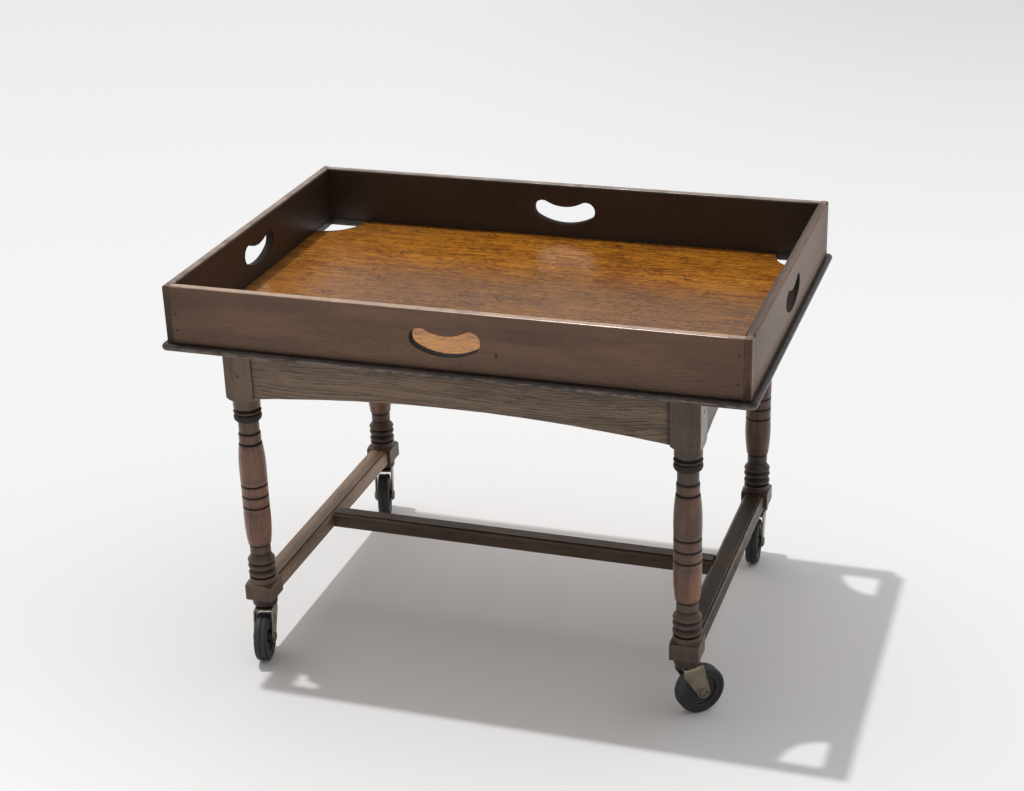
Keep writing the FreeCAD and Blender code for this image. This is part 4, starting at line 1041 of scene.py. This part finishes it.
def leg_outline(sizes, low, high):
    """The turned outline of a leg between two heights; the upper vase takes up what is left."""
    turning = Turning(low)
    full = sizes.turning_radius
    crest = sizes.ring_radius
    valley = sizes.valley_radius
    neck = sizes.neck_radius
    foot_band = sizes.foot_band_radius
    head_band = sizes.head_band_radius
    vase_end = sizes.vase_end_radius
    swell = sizes.vase_swell
    groove = sizes.groove_width
    half = groove / 2
    groove_floor = neck - sizes.groove_depth * 0.4
    waist_floor = full - sizes.groove_depth
    blank = full + sizes.pommel
    arris = sizes.block_arris
    edge = np.linspace(0, 1, 5)
    turning.add(arris, edge, blank, dark=0.5, inset=arris * (1 - np.sqrt(1 - (1 - edge) ** 2)))
    turning.add(sizes.foot_block - arris, np.linspace(0, 1, 8), blank, dark=0.4)
    quarter = np.linspace(0, np.pi / 2, 26)
    turning.add(sizes.pommel_rise, np.sin(quarter), full + sizes.pommel * np.cos(quarter), dark=0.3)
    turning.band(sizes.foot_collar, full, full, dark=0.3)
    turning.ring(sizes.foot_ring_low, valley, crest, dark=0.4, keen=1.2)
    turning.ring(sizes.foot_ring_mid, valley, crest, dark=0.35, keen=1.2)
    turning.bell(sizes.foot_bell, valley, crest, neck, dark=0.3)
    turning.groove(half, neck, foot_band, groove_floor, dark=0.9)
    turning.band(sizes.foot_band - 2 * half, foot_band, foot_band, dark=0.3)
    turning.groove(groove, foot_band, vase_end, groove_floor, dark=1.0)
    turning.stain = 0.0
    turning.band(sizes.low_vase - half, vase_end, full, dark=0.0, swell=swell, count=30)
    rest = (sizes.waist - 2 * sizes.waist_pitch - groove) / 2
    between = sizes.waist_pitch - groove
    turning.band(rest, full, full, dark=0.02)
    for stretch in (between, between, rest):
        turning.groove(groove, full, full, waist_floor, dark=1.0)
        turning.band(stretch, full, full, dark=0.02)
    above = (sizes.head_block + sizes.head_shoulder + sizes.head_collar + sizes.head_groove
             + sizes.head_ring_top + sizes.head_ring_low + sizes.head_cove + sizes.neck + sizes.head_band)
    turning.band(high - above - half - turning.height, full, vase_end, dark=0.0, swell=swell, count=30)
    turning.groove(groove, vase_end, head_band, groove_floor, dark=1.0)
    turning.band(sizes.head_band - groove, head_band, head_band, dark=0.25)
    turning.groove(groove, head_band, neck, groove_floor, dark=1.0)
    turning.stain = 1.0
    turning.band(sizes.neck - half, neck, neck, dark=0.3)
    turning.cove(sizes.head_cove, neck, valley, dark=0.4)
    turning.ring(sizes.head_ring_low, valley, crest, dark=0.9, keen=0.5)
    turning.ring(sizes.head_ring_top, valley, crest, dark=0.35, keen=0.7)
    turning.band(sizes.head_groove, valley, valley, dark=1.0)
    turning.band(sizes.head_collar, full, full, dark=0.3)
    rise = np.linspace(0, np.pi / 2, 28)
    turning.add(sizes.head_shoulder, 1 - np.cos(rise), full + sizes.pommel * np.sin(rise), dark=0.15)
    turning.add(sizes.head_block - arris, np.linspace(0, 1, 10), blank, dark=0.06)
    turning.add(arris, edge, blank, dark=0.2, inset=arris * (1 - np.sqrt(1 - edge ** 2)))
    return np.concatenate(turning.rows)


def leg_shell(sizes, centre, half, low, high, seed):
    """A leg on a grid of angle and height: the lesser of the turned radius and the square's edge.

    The square is a norm of high power, which leaves a small worn arris, and the lesser of the two is
    taken with a slight rounding so that the pommels flow into the turning.
    """
    height, radius, dark, inset, stain = leg_outline(sizes, low, high).T[..., None]
    eighth = 1 - (1 - np.linspace(0, 1, 15)[:-1]) ** 1.7
    quarter = np.concatenate([eighth, 2 - eighth[:0:-1], [1.0]]) * np.pi / 4
    quarter = np.unique(np.round(quarter, 9))
    turn = np.concatenate([quarter + number * np.pi / 2 for number in range(4)])
    norm = np.abs(np.cos(turn)) ** SQUARE_POWER + np.abs(np.sin(turn)) ** SQUARE_POWER
    square = (half - inset) * norm ** (-1 / SQUARE_POWER)
    turned = radius + 0.00012 * wander(height, pitch=0.03, seed=seed)
    reach = (square + turned - np.sqrt((square - turned) ** 2 + SOFT ** 2)) / 2
    x = reach * np.cos(turn)
    y = reach * np.sin(turn)
    tall = np.broadcast_to(height, x.shape)
    points = np.stack([centre[0] + x, centre[1] + y, tall], -1)
    arris = np.clip((reach / (half * math.sqrt(2)) - 0.90) / 0.06, 0, 1)
    wear = 0.3 * arris * (0.8 + 0.3 * wander(height, pitch=0.012, seed=seed + 5))
    return tube_shell(points, np.stack([tall, x, y], -1), wear, dark, stain)


class TRAYTABLE_OT_legs(bpy.types.Operator):
    """Make the four turned legs with their square blocks"""

    bl_idname = "traytable.legs"
    bl_label = "Legs"

    def execute(self, context):
        finishes = context.scene.tray_finishes
        tones = (finishes.leg_dark, finishes.leg_light, finishes.leg_warm, finishes.block_dark,
                 finishes.block_light)
        for number, place in enumerate(PLACES):
            low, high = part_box(f"leg_{place}")
            centre = ((low.x + high.x) / 2, (low.y + high.y) / 2)
            dark, light, warm, *second = (scaled(tone, LEG_PAINTED_LIGHT[number]) for tone in tones)
            finish = oak(f"{place}_leg_oak", (dark, light), 23.0 + number, gloss=0.25, rings=0.1, figure=0.6,
                         wax=0.25, second=second, warm=warm, shine=0.22)
            shell = leg_shell(context.scene.tray_turning, centre, (high.x - low.x) / 2, low.z, high.z,
                              number)
            make_piece(f"{place}_leg", [shell], finish, "stand", f"leg_{place}", "turned_oak")
        return {"FINISHED"}


# Aprons and stretchers

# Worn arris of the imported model's own pieces, and the angle over which an edge has one
NODE_ARRIS = 0.0006
NODE_ARRIS_ANGLE = math.radians(40)
# For each stretcher: the axis that it lies along, how much its colours are lightened or darkened, which is
# painted light on the left one and painted shade on the others, and how bare its arrises are, which on the
# right one partly stands in for its highlights
STRETCHERS = {"left_stretcher": ("Y", 1.75, 1.0), "right_stretcher": ("Y", 0.35, 2.0),
              "centre_stretcher": ("X", 0.65, 1.0)}


def apron_shell(sizes, half_length, height, half_thick, origin, along, outward, seed):
    """An apron as rounded sections along its length; the underside follows a circle's arc."""
    place = np.linspace(-half_length, half_length, 150)
    radius = (half_length ** 2 + sizes.arch_rise ** 2) / (2 * sizes.arch_rise)
    arch = sizes.arch_rise - radius + np.sqrt(radius ** 2 - place ** 2)
    arris = sizes.arris * (1 + 0.45 * wander(place, pitch=0.03, seed=seed))
    section = box_sections(half_thick, arch, height, np.repeat(arris[:, None], 4, 1), face_steps=9)
    local = np.stack(np.broadcast_arrays(place[:, None], section[..., 1], section[..., 0]), -1)
    edge = fading(local[..., 1] - arch[:, None], reach=0.0022) * (np.abs(local[..., 2]) > half_thick * 0.7)
    wear = 0.35 * edge * (0.8 + 0.4 * wander(local[..., 0], pitch=0.017, seed=seed + 3))
    grime_and_shade = 0.95 * fading(half_length - np.abs(local[..., 0]), reach=0.003)
    # Darker along the top, under the tray's lip: painted shade.
    grime_and_shade = grime_and_shade + 0.5 * fading(height - local[..., 1], reach=0.006)
    return tube_shell(placed(local, origin, along, outward), local, wear, grime_and_shade)


class TRAYTABLE_OT_aprons(bpy.types.Operator):
    """Make the four arched aprons between the legs"""

    bl_idname = "traytable.aprons"
    bl_label = "Aprons"

    def execute(self, context):
        finishes = context.scene.tray_finishes
        tones = (finishes.stand_dark, finishes.stand_light)
        _, leg_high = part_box("leg_front_left")
        for number, (side, along, outward) in enumerate(SIDES):
            low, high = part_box(f"{side}_apron")
            middle = (low + high) / 2
            long_side = along is RIGHT
            half_length = -leg_high.x if long_side else -leg_high.y
            half_thick = (high.y - low.y if long_side else high.x - low.x) / 2
            finish = oak(f"{side}_apron_oak", tones, 31.0 + number, gloss=0.45, rings=0.5, figure=1.6)
            shell = apron_shell(context.scene.tray_rails, half_length, high.z - low.z, half_thick,
                                (middle.x, middle.y, low.z), along, outward, 50 + number)
            make_piece(f"{side}_arched_apron", [shell], finish, "stand", f"{side}_apron", "stand_oak")
        return {"FINISHED"}


class TRAYTABLE_OT_stretchers(bpy.types.Operator):
    """Finish the moulded stretchers, the battens, the pegs and the screws"""

    bl_idname = "traytable.stretchers"
    bl_label = "Stretchers and fastenings"

    def execute(self, context):
        finishes = context.scene.tray_finishes
        tones = (finishes.stand_dark, finishes.stand_light)
        for number, (name, (lie, deep, bare)) in enumerate(STRETCHERS.items()):
            low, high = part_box(name)
            middle = (low + high) / 2
            rail = (middle.x, (high.x - low.x) / 2, high.z)
            if lie == "X":
                rail = (0.0, (high.y - low.y) / 2, high.z)
            # deep lightens or darkens the stretcher's colours: painted light and shade.
            finish = oak(f"{name}_oak", [scaled(tone, deep) for tone in tones], 61.0 + number, rings=0.12,
                         figure=0.45, lie=lie, rail=rail, bare=bare, shine=0.35 * min(deep, 1.0))
            finish_node(name, finish)
        for number, name in enumerate(("left_batten", "right_batten")):
            finish_node(name, oak(f"{name}_oak", tones, 66.0 + number, gloss=0.5, lie="Y"))
        peg_tones = (finishes.block_dark, scaled(finishes.block_light, 0.6))
        finish_node("apron_pegs", oak("peg_end_oak", peg_tones, 69.0, gloss=0.5, lie="X"))
        steel = speckled("dull_screw_steel")
        for name in ("stretcher_bolts", "batten_screws", "wall_screws"):
            finish_node(name, steel)
        return {"FINISHED"}


def finish_node(name, material):
    """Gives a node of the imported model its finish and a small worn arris."""
    node = frame["nodes"][name]
    node.data.materials.clear()
    node.data.materials.append(material)
    node.modifiers.new("join_facets", "WELD").merge_threshold = WELD_REACH
    bevel = node.modifiers.new("worn_arris", "BEVEL")
    bevel.width = NODE_ARRIS
    bevel.segments = 2
    bevel.limit_method = "ANGLE"
    bevel.angle_limit = NODE_ARRIS_ANGLE


# Castors

# Finishes that the castors' pieces share
CASTOR_FINISHES = ("tyre_rubber", "wheel_centre_plastic", "plated_fork_steel", "plated_axle_steel",
                   "dark_cup_iron")
# Step on a tyre's side wall, half the width of its tread groove, and the rolled line and bore of a cup
TYRE_STEP = 0.0012
GROOVE_HALF = 0.0015
CUP_LINE = 0.0006
CUP_BORE = 0.004
# Rounding of the fork plate's edges
PLATE_ARRIS = 0.0007


def castor_frame(place):
    """The king pin's foot, the wheel's centre, the directions of trail and axle, and the trail's length."""
    pin = np.array(JOINTS[f"swivel_{place}"]["pos_m"])
    roll = JOINTS[f"roll_{place}"]
    hub = np.array(roll["pos_m"])
    trail = hub - pin
    trail[2] = 0.0
    reach = np.linalg.norm(trail)
    return np.array([pin[0], pin[1], 0.0]), hub, trail / reach, np.array(roll["axis"], float), reach


def tyre_profile(sizes):
    """Section of the tyre: round shoulders, a step on each side wall and a groove in the tread."""
    half = sizes.tyre_width / 2
    outer = sizes.wheel_radius
    wall = outer - sizes.tyre_shoulder * 1.7
    side = [(sizes.rim_radius, -half + TYRE_STEP, 0.0006), (wall, -half + TYRE_STEP, 0.0004),
            (wall, -half, 0.0004), (outer, -half, sizes.tyre_shoulder), (outer, -GROOVE_HALF, 0.0005)]
    return rounded(mirrored(side, (outer - sizes.tread_groove, 0.0, 0.0005)), steps=6)


def wheel_profile(sizes):
    """Section of the wheel centre: a hub, a thin web and a rim, with moulded fillets."""
    rim = sizes.rim_radius - sizes.rim_wall
    half_web = sizes.web / 2
    half_rim = sizes.rim_width / 2
    side = [(sizes.hub_bore, -sizes.hub_half, 0.0004), (sizes.hub_radius, -sizes.hub_half, 0.001),
            (sizes.hub_radius, -half_web, 0.0025), (rim, -half_web, 0.0025), (rim, -half_rim, 0.0008),
            (sizes.rim_radius, -half_rim, 0.0004)]
    return rounded(mirrored(side), steps=5)


def axle_profile(sizes):
    """Section of the tubular axle with a rolled, dished flange at each end."""
    cheek = sizes.fork_gap / 2 + sizes.plate
    tip = cheek + sizes.flange
    side = [(sizes.axle_bore, -cheek, 0.001), (sizes.axle_bore + sizes.flange / 2, -tip, 0.0006),
            (sizes.flange_radius, -tip, 0.0013), (sizes.flange_radius, -cheek, 0.0004),
            (sizes.axle_radius, -cheek, 0.0002)]
    return rounded(mirrored(side), steps=5)


def cup_profile(sizes, radius, low, high):
    """Section of the cup over the ball race, with a rolled line round it."""
    line = radius + CUP_LINE
    rows = [(CUP_BORE, low, 0), (radius, low, sizes.cup_round), (radius, high - 0.0045, 0.0004),
            (line, high - 0.0035, 0.0005), (line, high - 0.0012, 0.0006), (radius - 0.0004, high, 0.0004),
            (CUP_BORE, high, 0)]
    return rounded(rows, steps=7)


def fork_shell(sizes, foot, trail, axle, reach):
    """The pressed fork: a plate carried from one axle boss over the crown to the other.

    The path is an upside-down U across the wheel; the plate's back and front edges follow the side
    outline, a crown, a heel and a toe joined by straight lines tangent to the boss.
    """
    boss = np.array([reach, sizes.wheel_radius])

    def side_edge(corner, side, whole_turn, crown):
        """One edge of the fork from the foot of the boss, over its corner, up to the crown."""
        away = np.array(corner) - boss
        touch = math.atan2(away[1], away[0]) + side * math.acos(sizes.boss_radius / np.linalg.norm(away))
        turn = np.linspace(1.5 * np.pi, touch + whole_turn, 14)
        edge = boss + sizes.boss_radius * spokes(turn)
        return np.concatenate([edge, [corner, (crown, sizes.crown_height)]])

    back = side_edge((-sizes.crown_back, sizes.heel_height), 1, 0.0, -sizes.crown_back)
    front = side_edge((sizes.toe_reach, sizes.toe_height), -1, 2 * np.pi, sizes.crown_front)
    middle_half = sizes.fork_gap / 2 + sizes.plate / 2
    bend = sizes.fork_bend - sizes.plate / 2
    low = boss[1] - sizes.boss_radius
    bend_height = sizes.crown_height - sizes.fork_bend
    drop = 1 - np.cos(np.linspace(0.12, np.pi / 2, 12))
    cheek = np.concatenate([low + drop * sizes.boss_radius, np.linspace(boss[1], bend_height, 24)[1:]])
    turn = np.linspace(0, np.pi / 2, 8)[1:]
    crown = np.linspace(middle_half - bend, 0, 6)[1:]
    arc = np.array([middle_half - bend, bend_height]) + bend * spokes(turn)
    half_y = np.concatenate([np.full(len(cheek), middle_half), arc[:, 0], crown])
    half_z = np.concatenate([cheek, arc[:, 1], np.full(len(crown), arc[-1, 1])])
    half_out = np.concatenate([np.tile([1.0, 0.0], (len(cheek), 1)), spokes(turn),
                               np.tile([0.0, 1.0], (len(crown), 1))])
    y = np.concatenate([half_y, -half_y[-2::-1]])
    z = np.concatenate([half_z, half_z[-2::-1]])
    out = np.concatenate([half_out, half_out[-2::-1] * np.array([-1.0, 1.0])])
    start = np.interp(z, back[:, 1], back[:, 0])
    end = np.interp(z, front[:, 1], front[:, 0])
    section = box_sections(sizes.plate / 2, start, end, np.full(4, PLATE_ARRIS), arc_steps=3, face_steps=3)
    across = y[:, None] + out[:, None, 0] * section[..., 0]
    up = z[:, None] + out[:, None, 1] * section[..., 0]
    points = foot + section[..., 1:] * trail + across[..., None] * axle + up[..., None] * UP
    return tube_shell(points, points)


# The turned pieces of a castor: name, section, finish, body, slot and points round it
CASTOR_TURNED = (("tyre", tyre_profile, "tyre_rubber", "roller", "castor_tyre", 120),
                 ("wheel", wheel_profile, "wheel_centre_plastic", "roller", "castor_wheel_plastic", 72),
                 ("axle", axle_profile, "plated_axle_steel", "castor", "castor_steel", 40))


class TRAYTABLE_OT_castors(bpy.types.Operator):
    """Make the castors' tyres, wheel centres, axles, forks and cups"""

    bl_idname = "traytable.castors"
    bl_label = "Castors"

    def execute(self, context):
        sizes = context.scene.tray_castors
        finishes = {name: speckled(name) for name in CASTOR_FINISHES}
        for place in PLACES:
            foot, hub, trail, axle, reach = castor_frame(place)
            for name, profile_of, finish, body, slot, steps in CASTOR_TURNED:
                profile = profile_of(sizes)
                points = revolve(profile, hub, axle, trail, steps)
                # The bore of the hollow axle is darkened: painted shade.
                bore = (profile[:, :1] < sizes.axle_bore * 1.1).astype(float)
                make_piece(f"{place}_{name}", [ring_shell(points, points, 0.0, bore)], finishes[finish],
                           f"{body}_{place}", f"castor_{name}_{place}", slot)
            fork = fork_shell(sizes, foot, trail, axle, reach)
            make_piece(f"{place}_fork", [fork], finishes["plated_fork_steel"], f"castor_{place}",
                       f"castor_fork_{place}", "castor_fork_steel")
            low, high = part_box(f"castor_cup_{place}")
            profile = cup_profile(sizes, (high.x - low.x) / 2 - CUP_LINE, low.z, high.z)
            points = revolve(profile, foot, UP, trail, steps=64)
            make_piece(f"{place}_cup", [ring_shell(points, points)], finishes["dark_cup_iron"], "stand",
                       f"castor_cup_{place}", "castor_cup_steel")
            for name in ("stem", "bush"):
                finish_node(f"castor_{name}_{place}", finishes["plated_axle_steel"])
        return {"FINISHED"}


# Stage

# Half the width of the studio floor, its painted shade far off and painted light before the table, and the
# room's shade behind
FLOOR_REACH = 200.0
FAR_PAINTED_SHADE = 0.74
NEAR_PAINTED_LIGHT = 1.07
BEHIND_SHADE = 0.86


class StageSettings(bpy.types.PropertyGroup):
    """Camera and light of the studio."""

    heading: angle("Heading", "Turn of the view from the depth axis", -18.87)
    pitch: angle("Pitch", "How far the view looks down", 23.95)
    roll: angle("Roll", "Tilt of the picture", -1.92)
    place: FloatVectorProperty(name="Camera", description="Where the camera stands", subtype="XYZ",
                               unit="LENGTH", default=(0.88263, -2.59623, 1.58383))
    lens: FloatProperty(name="Lens", description="Focal length in millimetres", default=67.81,
                        unit="CAMERA")
    sun: strength("Lamp", "Strength of the main lamp", 1.33)
    sun_angle: angle("Lamp size", "Apparent size of the main lamp", 1.6)
    to_sun: FloatVectorProperty(name="To the lamp", description="Direction to the main lamp",
                                subtype="DIRECTION", default=(-0.247, 0.1, 0.963))
    sky: strength("Room light", "Strength of the room's light from behind", 0.95)
    dim: strength("Dim side", "Strength of the room's light from the camera's side", 0.21)
    pale: strength("Background", "Brightness of the room where it is seen", 0.95)


def floor_paint(base):
    """The studio floor's paint: painted shade far off and to the right, painted light before the table,
    cloudy.
    """
    material, wire = new_finish("studio_floor_paint")
    place = object_place(wire)
    aside, back, _ = place.parts()
    # Darker far off and to the right: painted shade.
    far = (back * 0.95 - aside * 0.32).between(0.2, 5.5)
    right = (aside * 0.95 + back * 0.32).between(-0.6, 1.8)
    cloudy = place.noise(0.35, 0.35, 1.0) * 0.06
    colour = (far * (0.4 + 0.6 * right) + cloudy).blend(base, scaled(base, FAR_PAINTED_SHADE))
    # Lighter before the table: painted light.
    near = 1.0 - back.between(-0.8, -0.2)
    close_finish(wire, near.blend(colour, scaled(base, NEAR_PAINTED_LIGHT)), roughness=0.9, specular=0.1)
    return material


class TRAYTABLE_OT_stage(bpy.types.Operator):
    """Set up the pale floor, the lamp, the room light and the camera"""

    bl_idname = "traytable.stage"
    bl_label = "Stage"

    def execute(self, context):
        scene = context.scene
        stage = scene.tray_stage
        scene.view_settings.view_transform = "Standard"
        mesh = bpy.data.meshes.new("studio_floor")
        corners = FLOOR_REACH * np.array([[-1, -1, 0], [1, -1, 0], [1, 1, 0], [-1, 1, 0]])
        mesh.from_pydata(corners, [], [(0, 1, 2, 3)])
        mesh.materials.append(floor_paint(scene.tray_finishes.studio_floor))
        put_in_scene("studio_floor", mesh)
        world = bpy.data.worlds.new("studio_room")
        room = cleared(world)
        depth = room.node("ShaderNodeTexCoord", None, None, "Generated").parts()[1]
        glow = depth.between(-0.75, 0.65).blend((stage.dim,) * 3, (stage.sky,) * 3)
        pale = depth.between(-0.3, 0.7).blend((stage.pale,) * 3, (stage.pale * BEHIND_SHADE,) * 3)
        shown = sum(room.node("ShaderNodeLightPath", None, None, f"Is {ray} Ray")
                    for ray in ("Camera", "Glossy", "Transmission"))
        colour = shown.blend(glow, pale)
        light = room.node("ShaderNodeBackground", None, {"Color": colour, "Strength": 1.0})
        room.node("ShaderNodeOutputWorld", None, {"Surface": light})
        scene.world = world
        lamp = bpy.data.lights.new("studio_lamp", "SUN")
        lamp.energy = stage.sun
        lamp.angle = stage.sun_angle
        to_table = -np.array(stage.to_sun)
        put_in_scene("studio_lamp", lamp).matrix_world = look_matrix(3 * UP, to_table, 0.0)
        camera = bpy.data.cameras.new("studio_camera")
        camera.sensor_fit = "HORIZONTAL"
        camera.sensor_width = 36.0
        camera.lens = stage.lens
        level = math.cos(stage.pitch)
        ahead = np.array([math.sin(stage.heading) * level, math.cos(stage.heading) * level,
                          -math.sin(stage.pitch)])
        scene.camera = put_in_scene("studio_camera", camera)
        scene.camera.matrix_world = look_matrix(np.array(stage.place), ahead, stage.roll)
        return {"FINISHED"}


def look_matrix(place, ahead, roll):
    """Matrix of a camera or lamp at a place that looks ahead, tilted by a roll."""
    ahead = unit(ahead)
    right = unit(np.cross(ahead, UP))
    above = np.cross(right, ahead)
    side = right * math.cos(roll) + above * math.sin(roll)
    top = above * math.cos(roll) - right * math.sin(roll)
    turned = Matrix.Identity(4)
    for row in range(3):
        turned[row] = (side[row], top[row], -ahead[row], place[row])
    return turned


class TRAYTABLE_PT_panel(bpy.types.Panel):
    """Buttons for every group of pieces"""

    bl_label = "Tray table"
    bl_idname = "TRAYTABLE_PT_panel"
    bl_space_type = "VIEW_3D"
    bl_region_type = "UI"
    bl_category = "Tray table"

    def draw(self, context):
        for operator in OPERATORS:
            self.layout.operator(operator.bl_idname)


OPERATORS = (TRAYTABLE_OT_tray, TRAYTABLE_OT_legs, TRAYTABLE_OT_aprons, TRAYTABLE_OT_stretchers,
             TRAYTABLE_OT_castors, TRAYTABLE_OT_stage)
GROUPS = {"tray_sizes": TraySizes, "tray_turning": TurningSizes, "tray_rails": RailSizes,
          "tray_castors": CastorSizes, "tray_finishes": Finishes, "tray_stage": StageSettings}


def register():
    """Registers the property groups, the operators and the panel."""
    for name, group in GROUPS.items():
        bpy.utils.register_class(group)
        setattr(bpy.types.Scene, name, PointerProperty(type=group))
    for operator in (*OPERATORS, TRAYTABLE_PT_panel):
        bpy.utils.register_class(operator)


def unregister():
    """Takes the classes and their properties out again."""
    for operator in (TRAYTABLE_PT_panel, *reversed(OPERATORS)):
        bpy.utils.unregister_class(operator)
    for name, group in GROUPS.items():
        delattr(bpy.types.Scene, name)
        bpy.utils.unregister_class(group)


def main():
    """Makes every piece and the stage."""
    register()
    bpy.ops.traytable.tray()
    bpy.ops.traytable.legs()
    bpy.ops.traytable.aprons()
    bpy.ops.traytable.stretchers()
    bpy.ops.traytable.castors()
    bpy.ops.traytable.stage()
    bpy.context.view_layer.update()


if __name__ == "__main__":
    main()
